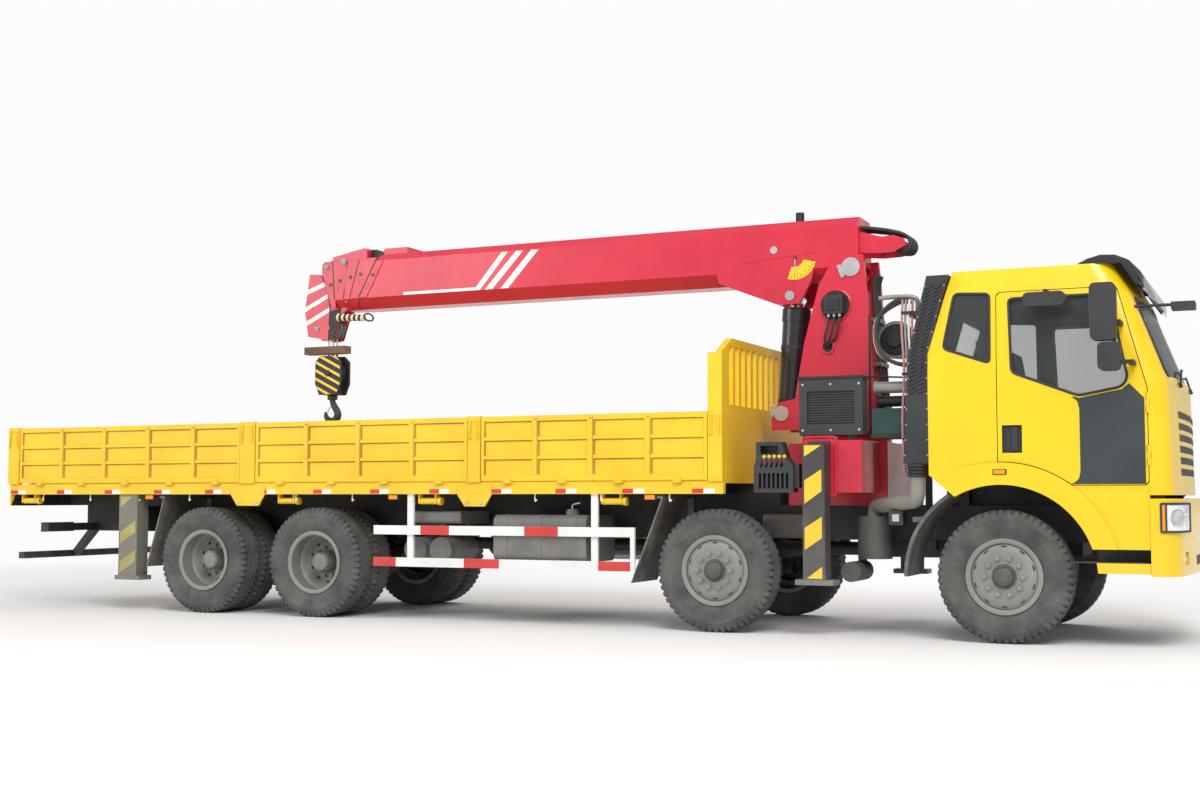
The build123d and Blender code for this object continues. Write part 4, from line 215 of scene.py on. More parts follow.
class Piece:
    """Simple closed forms gathered into one mesh that rides on a CAD body."""

    def __init__(self, name, body, slot, *finishes):
        self.name = name
        self.body = body
        self.slot = slot
        self.finishes = finishes
        self.mesh = bmesh.new()

    def skin(self, rings, paint=0, closed=False):
        """Faces over a row of rings of points; the row is closed on itself or capped at its ends."""
        rows = [[self.mesh.verts.new(point) for point in ring] for ring in rings]
        count = len(rows[0])
        faces = []
        for first, second in list(zip(rows, rows[1:])) + ([(rows[-1], rows[0])] if closed else []):
            for i in range(count):
                j = (i + 1) % count
                faces.append(self.mesh.faces.new((first[i], first[j], second[j], second[i])))
        if not closed:
            faces.append(self.mesh.faces.new(rows[0][::-1]))
            faces.append(self.mesh.faces.new(rows[-1]))
        for face in faces:
            face.material_index = paint
            face.smooth = True

    def prism(self, outline, low, high, axis="y", paint=0):
        """A flat outline carried along an axis: XZ pairs for y, YZ for x, XY for z."""
        place = AXES[axis]
        self.skin([[place(a, b, d) for a, b in outline] for d in (low, high)], paint)

    def block(self, x, y, z, paint=0):
        self.prism(rectangle(x, z), y[0], y[1], "y", paint)

    def sweep(self, points, radius, paint=0, sides=10, radii=None, closed=False):
        """A round bar along a row of points."""
        points = [Vector(point) for point in points]
        count = len(points)
        side = None
        rings = []
        for i, point in enumerate(points):
            if closed:
                ahead = points[(i + 1) % count] - points[i - 1]
            else:
                ahead = points[min(i + 1, count - 1)] - points[max(i - 1, 0)]
            ahead.normalize()
            if side is None:
                side = ahead.orthogonal()
            side = (side - ahead * side.dot(ahead)).normalized()
            up = ahead.cross(side)
            reach = radii[i] if radii else radius
            turns = [2 * math.pi * k / sides for k in range(sides)]
            rings.append([point + reach * (math.cos(t) * side + math.sin(t) * up) for t in turns])
        self.skin(rings, paint, closed)

    def rod(self, start, end, radius, paint=0, sides=16):
        self.sweep([start, end], radius, paint, sides)

    def stud(self, side, x, z, inner, outer, radius, paint=0, sides=16):
        """A round bar along Y between two distances from the centre line, on one side."""
        self.rod((x, side * inner, z), (x, side * outer, z), radius, paint, sides)

    def turned(self, origin, axis, profile, paint=0, sides=48):
        """A solid turned about an axis from places along it and radii."""
        axis = Vector(axis).normalized()
        self.sweep([Vector(origin) + axis * along for along, _ in profile], 0, paint, sides,
                   [max(radius, 0.0005) for _, radius in profile])

    def done(self, bevel=0.0):
        bmesh.ops.recalc_face_normals(self.mesh, faces=self.mesh.faces)
        data = bpy.data.meshes.new(self.name)
        self.mesh.to_mesh(data)
        self.mesh.free()
        data.set_sharp_from_angle(angle=math.radians(SHARP_FROM))
        for surface in self.finishes:
            data.materials.append(surface)
        piece = bpy.data.objects.new(self.name, data)
        scene.collection.objects.link(piece)
        if bevel:
            edge = piece.modifiers.new("edge", "BEVEL")
            edge.width = bevel
            edge.segments = 2
            edge.limit_method = "ANGLE"
            edge.angle_limit = math.radians(BEVEL_FROM)
        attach(piece, self.body)
        return piece


def smooth_line(points, steps=8):
    """A rounded line through a row of points."""
    points = [Vector(point) for point in points]
    padded = [2 * points[0] - points[1]] + points + [2 * points[-1] - points[-2]]
    line = []
    for a, b, c, d in zip(padded, padded[1:], padded[2:], padded[3:]):
        for k in range(steps):
            t = k / steps
            line.append(0.5 * (2 * b + (c - a) * t + (2 * a - 5 * b + 4 * c - d) * t ** 2
                               + (3 * b - a - 3 * c + d) * t ** 3))
    return line + [points[-1]]


def clipped(outline, border):
    """The part of a flat outline inside a convex border whose points run anticlockwise."""
    for (ax, az), (bx, bz) in zip(border, border[1:] + border[:1]):
        kept = []
        for (px, pz), (qx, qz) in zip(outline, outline[1:] + outline[:1]):
            p_in = (bx - ax) * (pz - az) - (bz - az) * (px - ax)
            q_in = (bx - ax) * (qz - az) - (bz - az) * (qx - ax)
            if p_in >= 0:
                kept.append((px, pz))
            if p_in * q_in < 0:
                share = p_in / (p_in - q_in)
                kept.append((px + share * (qx - px), pz + share * (qz - pz)))
        outline = kept
        if not outline:
            break
    return outline


def repaint(node, surface, test):
    """Give the faces of a CAD node that pass a test a finish of their own."""
    data = nodes[node].data
    data.materials.append(surface)
    index = len(data.materials) - 1
    for face in data.polygons:
        if test(face.center, face.normal):
            face.material_index = index


def between(value, stops):
    """A value read off a row of places and values, in proportion."""
    for (a, va), (b, vb) in zip(stops, stops[1:]):
        if a <= value <= b:
            return va + (vb - va) * (value - a) / (b - a)
    return stops[0][1] if value < stops[0][0] else stops[-1][1]


# the cab's half width, front and rear at a row of heights, the bow of its front and the radius of its corners
CAB_HALF = ((1.175, 1.225), (2.04, 1.225), (2.32, 1.213), (2.76, 1.187), (2.99, 1.135))
CAB_FRONT = ((1.175, 5.895), (2.04, 5.875), (2.32, 5.77), (2.76, 5.605), (2.99, 5.475))
CAB_REAR = ((2.32, 3.985), (2.76, 4.115), (2.99, 4.18))
BOW = 0.06
CORNER = 0.17
CAB_MIDDLE = Vector((4.9, 0, 2.0))
WALL = 0.025


def cab_half(z):
    return between(z, CAB_HALF)


def cab_rear(z):
    return between(z, CAB_REAR)


def cab_front(y, z):
    """X of the cab's front: bowed in the middle, round at the corners."""
    ahead = between(z, CAB_FRONT)
    flat = cab_half(z) - CORNER
    if abs(y) <= flat:
        return ahead - BOW * (y / flat) ** 2
    turn = min(abs(y) - flat, CORNER)
    return ahead - BOW - CORNER + math.sqrt(CORNER ** 2 - turn ** 2)


def inside_cab(c):
    return (abs(c.y) < cab_half(c.z) - WALL and 1.36 < c.z < 2.97
            and cab_rear(c.z) + WALL < c.x < cab_front(c.y, c.z) - WALL)


# Faces of the CAD nodes that have a finish of their own; where tests overlap, the later line counts
# the cab's inside faces, the doors' inside faces and the dash are near black: dark trim and painted shade
# inside the cab
repaint("cab_shell", DASH_AND_CAB_SHADE, lambda c, n: inside_cab(c))
repaint("cab_shell", DASH_AND_CAB_SHADE, lambda c, n: c.z > 1.4 and n.dot(c - CAB_MIDDLE) < -0.02)
repaint("cab_shell", BLACK, lambda c, n: c.z < 1.345 and abs(c.y) < 1.16 and c.x < cab_front(c.y, c.z) - 0.05)
repaint("cab_shell", PLASTIC, lambda c, n: 0.64 < c.z < 0.77 and abs(c.y) < 1.215)
for name, _ in SIDES:
    # the door's inside faces: dark trim and painted shade
    repaint(f"door_{name}", DASH_AND_CAB_SHADE, lambda c, n: abs(c.y) < cab_half(c.z) - 0.02)
    repaint(f"door_{name}", PLASTIC,
            lambda c, n: 4.565 < c.x < 4.73 and 1.505 < c.z < 1.735 and 1.19 < abs(c.y) < 1.2245)
    # the upper and left slopes of each pressing in the boards are brown: painted shade in the recesses, with
    # dirt
    for part in ("front", "middle", "rear"):
        repaint(f"board_{name}_{part}", CREASE_SHADE_AND_DIRT, lambda c, n: 1.225 < abs(c.y) < 1.2415
                and 0.2 < abs(n.y) < 0.97 and (n.z < -0.3 or n.x > 0.3))
# the dash: dark trim and painted shade inside the cab
repaint("cab_interior", DASH_AND_CAB_SHADE, lambda c, n: c.x > 4.98)
repaint("cab_trim", SMOKED, lambda c, n: c.z > 2.72 and 5.1 < c.x < 5.72)
repaint("front_bumper", BLACK, lambda c, n: abs(c.y) < 0.45 and c.x < 5.89)
repaint("front_bumper", PLASTIC,
        lambda c, n: 5.85 < c.x < cab_front(c.y, 1.3) + 0.035 and c.z < 0.75 and abs(n.x) > 0.9)
repaint("lamps", BLACK, lambda c, n: c.x < 0)
repaint("bed_floor", BLACK, lambda c, n: abs(c.y) < 1.16 and c.z < 1.283)
repaint("crane_column", SILVER, lambda c, n: abs(c.y) > 0.2903)
repaint("hook_block", BLACK, lambda c, n: c.z < 2.67)
repaint("hook_block", RUST, lambda c, n: 2.685 < c.z < 2.775 and abs(c.y) < 0.061)
repaint("hook_block", SILVER, lambda c, n: c.z > 2.775)
repaint("boom_section_5", GREY, lambda c, n: c.x < -2.45 and abs(c.y) < 0.074)
repaint("boom_section_5", NUT, lambda c, n: c.x < -2.45 and abs(c.y) > 0.0955 and c.z > 3.2)
repaint("boom_base", BLACK, lambda c, n: c.z > 3.6905 and 2.48 < c.x < 2.6)
repaint("boom_base", SILVER, lambda c, n: abs(c.y) > 0.2305 and 2.45 < c.x < 2.57 and c.z < 3.06)
repaint("chassis_frame", OLIVE, lambda c, n: abs(c.y) > 1.05 and -4.5 < c.x < -4.2)
# the boom base's downward faces low down take the darker crimson red: painted shade on the underside
repaint("boom_base", RED_UNDERSIDE_SHADE, lambda c, n: n.z < -0.3 and c.z < 3.25 and c.x < 2.0)
repaint("side_tanks", HUB, lambda c, n: c.x > 3.2 and c.z <= 1.0005)
repaint("side_tanks", PLASTIC, lambda c, n: c.x > 3.74 and c.z > 1.315)
repaint("side_tanks", PIPE, lambda c, n: c.x > 3.3 and 1.0005 < c.z <= 1.315)

ROUND_STEPS = 4
# how deep a flat piece is sunk in the face it lies on, and how far a thin one stands out
SUNK = 0.001
FILM = 0.0012


def rounded(outline, radius):
    """A flat closed outline with its corners rounded."""
    points = [Vector(point) for point in outline]
    line = []
    for before, corner, after in zip(points[-1:] + points[:-1], points, points[1:] + points[:1]):
        start = corner + (before - corner).normalized() * radius
        end = corner + (after - corner).normalized() * radius
        for k in range(ROUND_STEPS + 1):
            t = k / ROUND_STEPS
            line.append(tuple((1 - t) ** 2 * start + 2 * t * (1 - t) * corner + t ** 2 * end))
    return line


def across(side, inner, outer):
    """The Y span between two distances from the centre line, on one side."""
    return tuple(sorted((side * inner, side * outer)))


def film(side, face, lift=FILM):
    """The Y span of a flat piece on a side face."""
    return across(side, face - SUNK, face + lift)


# Wheels: lugged tyres, dished rims, hubs and nuts in place of the plain CAD wheels
AXLE_Z = 0.53
STEER_AXLES = ((1, 4.55), (2, 2.1))
DRIVE_AXLES = ((3, -2.02), (4, -3.37))
STEER_Y = 1.01
DUAL_Y = 0.93
DUAL_HALF = 0.165
LUGS = 54
LUG_DEPTH = 0.017
# half section of a tyre from the bead to the middle of the tread: axial place, radius, share of the lug depth
TYRE_SECTION = (
    (0.105, 0.285, 0), (0.105, 0.308, 0), (0.121, 0.332, 0), (0.136, 0.366, 0), (0.1445, 0.405, 0),
    (0.1445, 0.448, 0), (0.147, 0.452, 0), (0.1465, 0.46, 0), (0.1425, 0.464, 0), (0.135, 0.488, 0),
    (0.128, 0.505, 1), (0.12, 0.52, 1), (0.108, 0.53, 1), (0.078, 0.53, 1), (0.071, 0.53, 0),
    (0.066, 0.517, 0), (0.056, 0.517, 0), (0.051, 0.53, 0), (0.011, 0.53, 0), (0.006, 0.518, 0),
)
# turn within one lug pitch and how far the shoulder is cut there
LUG_STEPS = ((0.0, 0.0), (0.05, 1.0), (0.36, 1.0), (0.42, 0.0))


def around(centre, side, section, degrees):
    """A section of axial places and radii, turned about the axle."""
    out, up = polar(1.0, degrees)
    return [(centre[0] + r * out, centre[1] + side * a, centre[2] + r * up) for a, r in section]


def add_tyre(piece, centre, side, middle):
    """A tyre with cut shoulders and two grooves, as a ring of sections about the axle."""
    whole = TYRE_SECTION + tuple((-a, r, cut) for a, r, cut in reversed(TYRE_SECTION))
    rings = []
    for lug in range(LUGS):
        for share, cut in LUG_STEPS:
            section = [(middle + a, r - LUG_DEPTH * cut * notched) for a, r, notched in whole]
            rings.append(around(centre, side, section, 360 * (lug + share) / LUGS))
    piece.skin(rings, 0, closed=True)


def add_ring(piece, centre, side, section, paint):
    """A ring about the axle from a closed section of axial places and radii."""
    turns = [360 * k / RING_STEPS for k in range(RING_STEPS)]
    piece.skin([around(centre, side, section, turn) for turn in turns], paint, closed=True)


def add_round(piece, centre, side, count, radius, start, end, size, paint, sides, turn=0.0, tilt=0.0):
    """A circle of studs about the axle, each pointing outboard and leaning outwards by a tilt."""
    for k in range(count):
        x, z = polar(1.0, 360 * (k + turn) / count)
        out = Vector((x, 0, z))
        first = Vector(centre) + out * radius + Vector((0, side * start, 0))
        ahead = Vector((0, side * math.cos(tilt), 0)) + out * math.sin(tilt)
        piece.rod(first, first + ahead * (end - start), size, paint, sides)


# sections of rims, brake drums and hubs: axial places and radii
RING_STEPS = 72
RIM_BARREL = ((-0.112, 0.266), (-0.121, 0.29), (-0.119, 0.304), (-0.107, 0.304), (-0.104, 0.285),
              (0.104, 0.285), (0.107, 0.304), (0.119, 0.304), (0.121, 0.29), (0.112, 0.266))
STEER_DISC = ((0.06, 0.268), (0.088, 0.268), (0.096, 0.258), (0.107, 0.226), (0.112, 0.212), (0.113, 0.2),
              (0.113, 0.09), (0.098, 0.09), (0.098, 0.19), (0.09, 0.214), (0.078, 0.252))
STEER_DRUM = ((-0.07, 0.191), (-0.07, 0.205), (0.086, 0.205), (0.1, 0.19), (0.1, 0.1), (0.086, 0.1),
              (0.086, 0.191))
STEER_HUB = ((0.02, 0.1), (0.113, 0.1), (0.118, 0.098), (0.118, 0.082), (0.128, 0.078), (0.15, 0.074),
             (0.16, 0.064), (0.163, 0.05), (0.168, 0.046), (0.17, 0.038), (0.17, 0.0))
DUAL_DISC = ((0.1, 0.268), (0.13, 0.268), (0.118, 0.254), (0.09, 0.24), (0.04, 0.206), (0.02, 0.178),
             (0.018, 0.1), (0.001, 0.1), (0.001, 0.184), (0.026, 0.222), (0.074, 0.254))
DUAL_DRUM = ((-0.205, 0.191), (-0.205, 0.205), (-0.06, 0.205), (-0.046, 0.19), (-0.046, 0.1), (-0.06, 0.1),
             (-0.06, 0.191))
DUAL_HUB = ((-0.06, 0.105), (0.018, 0.105), (0.06, 0.105), (0.112, 0.098), (0.12, 0.095), (0.17, 0.09),
            (0.178, 0.084), (0.182, 0.07), (0.182, 0.0))
# circles of studs: count, radius, start, end, size, finish, sides, then turn and tilt where not 0
STEER_STUDS = ((10, 0.15, 0.11, 0.119, 0.026, 1, 16), (10, 0.15, 0.112, 0.139, 0.0185, 3, 6),
               (10, 0.15, 0.139, 0.149, 0.01, 3, 10))
DUAL_STUDS = ((10, 0.1425, 0.016, 0.044, 0.0185, 3, 6), (10, 0.1425, 0.044, 0.056, 0.01, 3, 10),
              (12, 0.077, 0.176, 0.19, 0.0085, 1, 6), (10, 0.2, 0.03, 0.044, 0.017, 2, 14, 0.5, 0.6))
# dark slots in the rim's slanted face: how many, their place on the rim, and turns along a slot in radians
HAND_HOLES = 10
HOLE_PLACE = ((0.0975, 0.238),)
HOLE_REACH = (-0.1, -0.05, 0.05, 0.1)
HOLE_SIZES = (0.006, 0.0095, 0.0095, 0.006)
for number, axle_x in STEER_AXLES + DRIVE_AXLES:
    twin = number > 2
    for name, side in SIDES:
        centre = (axle_x, side * (DUAL_Y if twin else STEER_Y), AXLE_Z)
        wheel = Piece(f"dressed_wheel_{number}_{name}", f"wheel_{number}_{name}", "wheel",
                      TYRE, RIM, BLACK, NUT, HUB)
        if twin:
            for end in (-1, 1):
                add_tyre(wheel, centre, side, end * DUAL_HALF)
                add_ring(wheel, centre, side, [(end * DUAL_HALF + a, r) for a, r in RIM_BARREL], 1)
                add_ring(wheel, centre, side, [(end * a, r) for a, r in DUAL_DISC], 1)
            add_ring(wheel, centre, side, DUAL_DRUM, 2)
            wheel.turned(centre, (0, side, 0), DUAL_HUB, 1)
        else:
            add_tyre(wheel, centre, side, 0.0)
            add_ring(wheel, centre, side, RIM_BARREL, 1)
            add_ring(wheel, centre, side, STEER_DISC, 1)
            add_ring(wheel, centre, side, STEER_DRUM, 2)
            wheel.turned(centre, (0, side, 0), STEER_HUB, 4)
            for k in range(HAND_HOLES):
                turns = [360 * (k + 0.5) / HAND_HOLES + math.degrees(reach) for reach in HOLE_REACH]
                slot = [around(centre, side, HOLE_PLACE, turn)[0] for turn in turns]
                wheel.sweep(slot, 0, 2, 10, HOLE_SIZES)
        for circle in (DUAL_STUDS if twin else STEER_STUDS):
            add_round(wheel, centre, side, *circle)
        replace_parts(wheel.done(), f"wheel_{number}_{name}")

# Cab sides: dark door panels, window rubbers, side markers, step treads and mirror glass
DOOR_PANEL = ((5.105, 1.945), (5.15, 1.905), (5.163, 1.85), (5.163, 1.36), (5.15, 1.305), (5.115, 1.272),
              (5.085, 1.262), (5.642, 1.262), (5.642, 1.92), (5.535, 2.035), (5.478, 1.99), (5.165, 1.932))
DOOR_WINDOW = ((4.63, 2.74), (5.395, 2.74), (5.525, 2.075), (5.48, 2.01), (5.16, 1.95), (4.65, 2.15))
QUARTER_WINDOW = ((4.2, 2.805), (4.48, 2.79), (4.48, 2.23), (4.11, 2.36))
SCREEN = ((-1.075, 2.1), (1.075, 2.1), (1.01, 2.72), (-1.01, 2.72))
REAR_WINDOW = rectangle((-0.52, 0.52), (2.36, 2.68))
RUBBER = 0.011
RUBBER_OUT = 0.001
WINDOW_ROUND = 0.04
# a mirror's glass: X, low and high Z, outer Y
MIRROR_GLASS = ((5.285, 2.385, 2.755, 1.488), (5.335, 2.15, 2.306, 1.478))
MIRROR_INNER = 1.402
for name, side in SIDES:
    panel = Piece(f"door_{name}_panel", f"door_{name}", "dark_plastic", CHARCOAL)
    panel.prism(DOOR_PANEL, *across(side, 1.222, 1.2285))
    panel.done(0.0015)
    for part, body, window in (("door", f"door_{name}", DOOR_WINDOW), ("quarter", "cab", QUARTER_WINDOW)):
        rubber = Piece(f"{part}_{name}_rubber", body, "dark_plastic", PLASTIC)
        line = [(x, side * (cab_half(z) + RUBBER_OUT), z) for x, z in rounded(window, WINDOW_ROUND)]
        rubber.sweep(line, RUBBER, closed=True)
        rubber.done()
    marker = Piece(f"arch_marker_{name}", "cab", "lamp", AMBER, PLASTIC)
    marker.block((4.495, 4.605), across(side, 1.244, 1.252), (1.338, 1.382), 1)
    marker.block((4.505, 4.595), across(side, 1.25, 1.262), (1.344, 1.376), 0)
    marker.done(0.004)
    tread = Piece(f"step_tread_{name}", "cab", "dark_plastic", PLASTIC)
    for row in range(5):
        y = 1.03 + 0.04 * row
        tread.block((5.07, 5.65), across(side, y, y + 0.022), (0.654, 0.661))
    tread.done(0.002)
    glass = Piece(f"mirror_glass_{name}", f"door_{name}", "glass", MIRROR)
    for x, low, high, outer in MIRROR_GLASS:
        outline = rounded(rectangle((side * MIRROR_INNER, side * outer), (low, high)), 0.02)
        glass.prism(outline, x - 0.002, x + 0.001, "x")
    glass.done()
rubber = Piece("screen_rubber", "cab", "dark_plastic", PLASTIC)
rubber.sweep([(cab_front(y, z) + RUBBER_OUT, y, z) for y, z in rounded(SCREEN, 0.06)], 0.013, closed=True)
line = [(cab_rear(z) - RUBBER_OUT, y, z) for y, z in rounded(REAR_WINDOW, WINDOW_ROUND)]
rubber.sweep(line, RUBBER, closed=True)
rubber.done()

# Cab front: grille inserts, wipers, blank plate, fog lamps and lamp bezels
grille = Piece("grille_inserts", "cab", "dark_plastic", PLASTIC)
for row in range(6):
    z = 1.33 + 0.09 * row
    grille.block((5.853, 5.858), (-0.749, 0.749), (z + 0.001, z + 0.055))
grille.done()
wipers = Piece("wipers", "cab", "dark_plastic", PLASTIC)
for y in (-0.62, 0.28):
    foot = (cab_front(y, 2.05) + 0.012, y, 2.05)
    tip = (cab_front(y + 0.42, 2.2) + 0.028, y + 0.42, 2.2)
    wipers.rod((foot[0] - 0.02, y, 2.045), (foot[0] + 0.012, y, 2.055), 0.022)
    wipers.rod(foot, tip, 0.009)
    ends = [(y + 0.12, 2.14), (y + 0.42, 2.19), (y + 0.74, 2.22)]
    wipers.sweep([(cab_front(b, z) + 0.02, b, z) for b, z in ends], 0.008)
wipers.done()
FOG_Y = 0.905
FOG_Z = 0.69
front = Piece("bumper_fittings", "chassis", "dark_plastic", WHITE, LENS, CHROME)
front.block((5.925, 5.9335), (-0.222, 0.222), (0.786, 0.924))
for _, side in SIDES:
    front.turned((5.866, side * FOG_Y, FOG_Z), (1, 0, 0), ((0, 0.048), (0.014, 0.046), (0.018, 0.04)), 2)
    front.turned((5.878, side * FOG_Y, FOG_Z), (1, 0, 0),
                 ((0, 0.038), (0.008, 0.034), (0.014, 0.02), (0.016, 0)), 1)
front.done(0.001)
# where the head lamp's face lies ahead, and where its corner starts beside
LAMP_FRONT = 5.897
LAMP_FLAT = 1.076


def lamp_place(turn, out):
    """A place round the head lamp's corner: a turn up to 90 degrees, then metres along the front."""
    if turn <= 90:
        y, x = polar(CORNER + out, turn)
        return LAMP_FRONT - CORNER + x, LAMP_FLAT + y
    y = LAMP_FLAT - (turn - 90)
    return LAMP_FRONT + BOW * (1 - (y / LAMP_FLAT) ** 2) + out, y


LAMP_TURNS = [6 + 12 * k for k in range(8)] + [90 + 0.06 * k for k in range(1, 5)]
LAMP_BOWLS = (52, 90.1)
BOWL_TURN_MAX = 86
for name, side in SIDES:
    bezel = Piece(f"head_lamp_{name}", "chassis", "lamp", PLASTIC, AMBER, CHROME)
    for z in (0.899, 1.111):
        bezel.sweep([(x, side * y, z) for x, y in (lamp_place(t, 0.001) for t in LAMP_TURNS)], 0.009)
    for turn in (LAMP_TURNS[0], 18, LAMP_TURNS[-1]):
        x, y = lamp_place(turn, 0.001)
        bezel.rod((x, side * y, 0.897), (x, side * y, 1.113), 0.008)
    amber = []
    for turn in (8, 12, 16):
        (x0, y0), (x1, y1) = lamp_place(turn, -0.002), lamp_place(turn, 0.003)
        amber.append([(x, side * y, z) for x, y, z in ((x0, y0, 0.906), (x1, y1, 0.906), (x1, y1, 1.104),
                                                       (x0, y0, 1.104))])
    bezel.skin(amber, 1)
    for turn in LAMP_BOWLS:
        x, y = lamp_place(turn, 0.0)
        out, ahead = polar(1.0, min(turn, BOWL_TURN_MAX))
        bezel.turned((x, side * y, 1.005), (ahead, side * out, 0),
                     ((-0.002, 0.07), (0.003, 0.068), (0.004, 0.055), (0.002, 0.05)), 2)
    bezel.done()

# Air intake stack: two columns of slanted louvres, with screws down both edges
STACK_FACE = 1.22
STACK_LOW = ((1.435, 3.776), (2.32, 3.825), (2.96, 3.985))
STACK_HIGH = ((1.435, 3.985), (2.32, 3.985), (2.96, 4.161))
louvres = Piece("intake_louvres", "cab", "dark_plastic", PLASTIC, SILVER)
for row in range(26):
    z = 2.00 + 0.034 * row
    low, high = between(z, STACK_LOW), between(z, STACK_HIGH)
    middle = (low + high) / 2
    for x0, x1 in ((low + 0.022, middle - 0.008), (middle + 0.008, high - 0.022)):
        blade = ((x0, z), (x1, z + 0.022), (x1, z + 0.034), (x0, z + 0.012))
        louvres.prism(blade, -STACK_FACE - 0.011, -STACK_FACE)
for row in range(12):
    z = 1.5 + 0.125 * row
    for x in (between(z, STACK_LOW) + 0.01, between(z, STACK_HIGH) - 0.01):
        louvres.stud(-1, x, z, STACK_FACE - 0.002, STACK_FACE + 0.004, 0.006, 1, 10)
louvres.done(0.001)

# Boom: white stripes, root plates with an angle dial, and end collars with bolts
BOOM_SIDE = 0.23
LOW_STRIPE = ((-1.645, 3.243), (-0.79, 3.243), (-0.76, 3.272), (-1.645, 3.272))
STRIPES = (
    ((-0.815, 3.243), (-0.74, 3.243), (-0.423, 3.609), (-0.495, 3.609)),
    ((-0.685, 3.243), (-0.6, 3.243), (-0.25, 3.609), (-0.332, 3.609)),
    ((-0.505, 3.243), (-0.42, 3.243), (-0.078, 3.609), (-0.161, 3.609)),
)
ROOT_PLATE = ((2.089, 3.325), (2.747, 3.386), (2.632, 3.552), (2.338, 3.534))
DIAL_X = 2.561
DIAL_Z = 3.342
DIAL_TURNS = range(-112, -2, 10)
DIAL_LIFT = 0.007
COLLAR = ((-2.186, 3.243), (-2.096, 3.243), (-1.889, 3.617), (-1.979, 3.617))
for name, side in SIDES:
    stripes = Piece(f"boom_stripes_{name}", "boom", "crane_paint", WHITE)
    for outline in STRIPES:
        stripes.prism(outline, *film(side, BOOM_SIDE))
    stripes.prism(LOW_STRIPE, *film(side, BOOM_SIDE, 0.0008))
    stripes.done()
    root = Piece(f"boom_root_{name}", "boom", "crane_paint", RED, SILVER, BED_YELLOW, BLACK)
    root.prism(ROOT_PLATE, *film(side, BOOM_SIDE, 0.005))
    root.stud(side, 2.36, 3.43, 0.232, 0.242, 0.035, 1, 24)
    sector = [polar(0.2, turn) for turn in DIAL_TURNS] + [polar(0.08, turn) for turn in reversed(DIAL_TURNS)]
    root.prism([(DIAL_X + x, DIAL_Z + z) for x, z in sector], *film(side, BOOM_SIDE, DIAL_LIFT), "y", 2)
    for k, turn in enumerate(DIAL_TURNS):
        tick = [polar(reach, turn) for reach in (0.165 if k % 2 else 0.145, 0.192)]
        root.rod(*[(DIAL_X + x, side * (BOOM_SIDE + DIAL_LIFT), DIAL_Z + z) for x, z in tick], 0.0022, 3, 6)
    root.stud(side, DIAL_X, DIAL_Z, 0.232, 0.2405, 0.016, 3)
    root.rod((DIAL_X, side * 0.2385, DIAL_Z), (DIAL_X + 0.005, side * 0.2385, DIAL_Z - 0.15), 0.0045, 1, 8)
    root.done(0.001)
    collar = Piece(f"boom_collar_{name}", "boom", "crane_paint", RED, HUB)
    collar.prism(COLLAR, *film(side, BOOM_SIDE, 0.009))
    for share, size in ((0.62, 0.019), (0.36, 0.006), (0.26, 0.006)):
        collar.stud(side, -2.141 + 0.207 * share, 3.243 + 0.374 * share, 0.236, 0.248, size, 1, 12)
    collar.done(0.002)

# Section ends: frames that fan out past the base's end, each riding its own section.
# A seam is its top and foot (X, Z), from the base's end forward; a pin is X, Z and radius.
SEAMS = (
    ((-1.962, 3.66), (-2.256, 3.13)), ((-2.192, 3.66), (-2.351, 3.13)), ((-2.355, 3.66), (-2.422, 3.13)),
    ((-2.564, 3.66), (-2.526, 3.13)),
)
CRESTS = ((-2.105, 3.762), (-2.165, 3.765), (-2.345, 3.74), (-2.567, 3.705))
FRAME_BOLTS = ((-2.182, 3.494), (-2.325, 3.474), (-2.47, 3.446), (-2.605, 3.414))
FRAME_PINS = (None, None, (-2.433, 3.65, 0.04), (-2.663, 3.61, 0.034))
FRAME_CAP = ((-2.1, 3.67), (-1.955, 3.67), (-1.955, 3.715), (-2.04, 3.757), (-2.1, 3.757))
LUG_TURNS = (70, 100, 130, 160, 190)
LUG_RADIUS = 0.058
SEAM_GAP = 0.01
# height and share of the gap for the corners of the dark strip at a seam
SEAM_STRIP = ((3.255, 2.7), (3.255, 0.5), (3.655, 0.5), (3.655, 2.7))
FRAME_FOOT = 3.137
FRAME_TOP = 3.66
CREST_FOOT = 3.655
FRAME_SKIN = 0.006
SECTION_STEP = 0.022


def seam_x(seam, z):
    (top_x, top_z), (foot_x, foot_z) = seam
    return foot_x + (z - foot_z) * (top_x - foot_x) / (top_z - foot_z)


def framed(near, far, outline):
    """An outline of Y and Z at a seam, and again at the next one."""
    return [[(seam_x(near, z) - SEAM_GAP, y, z) for y, z in outline],
            [(seam_x(far, z), y, z) for y, z in outline]]


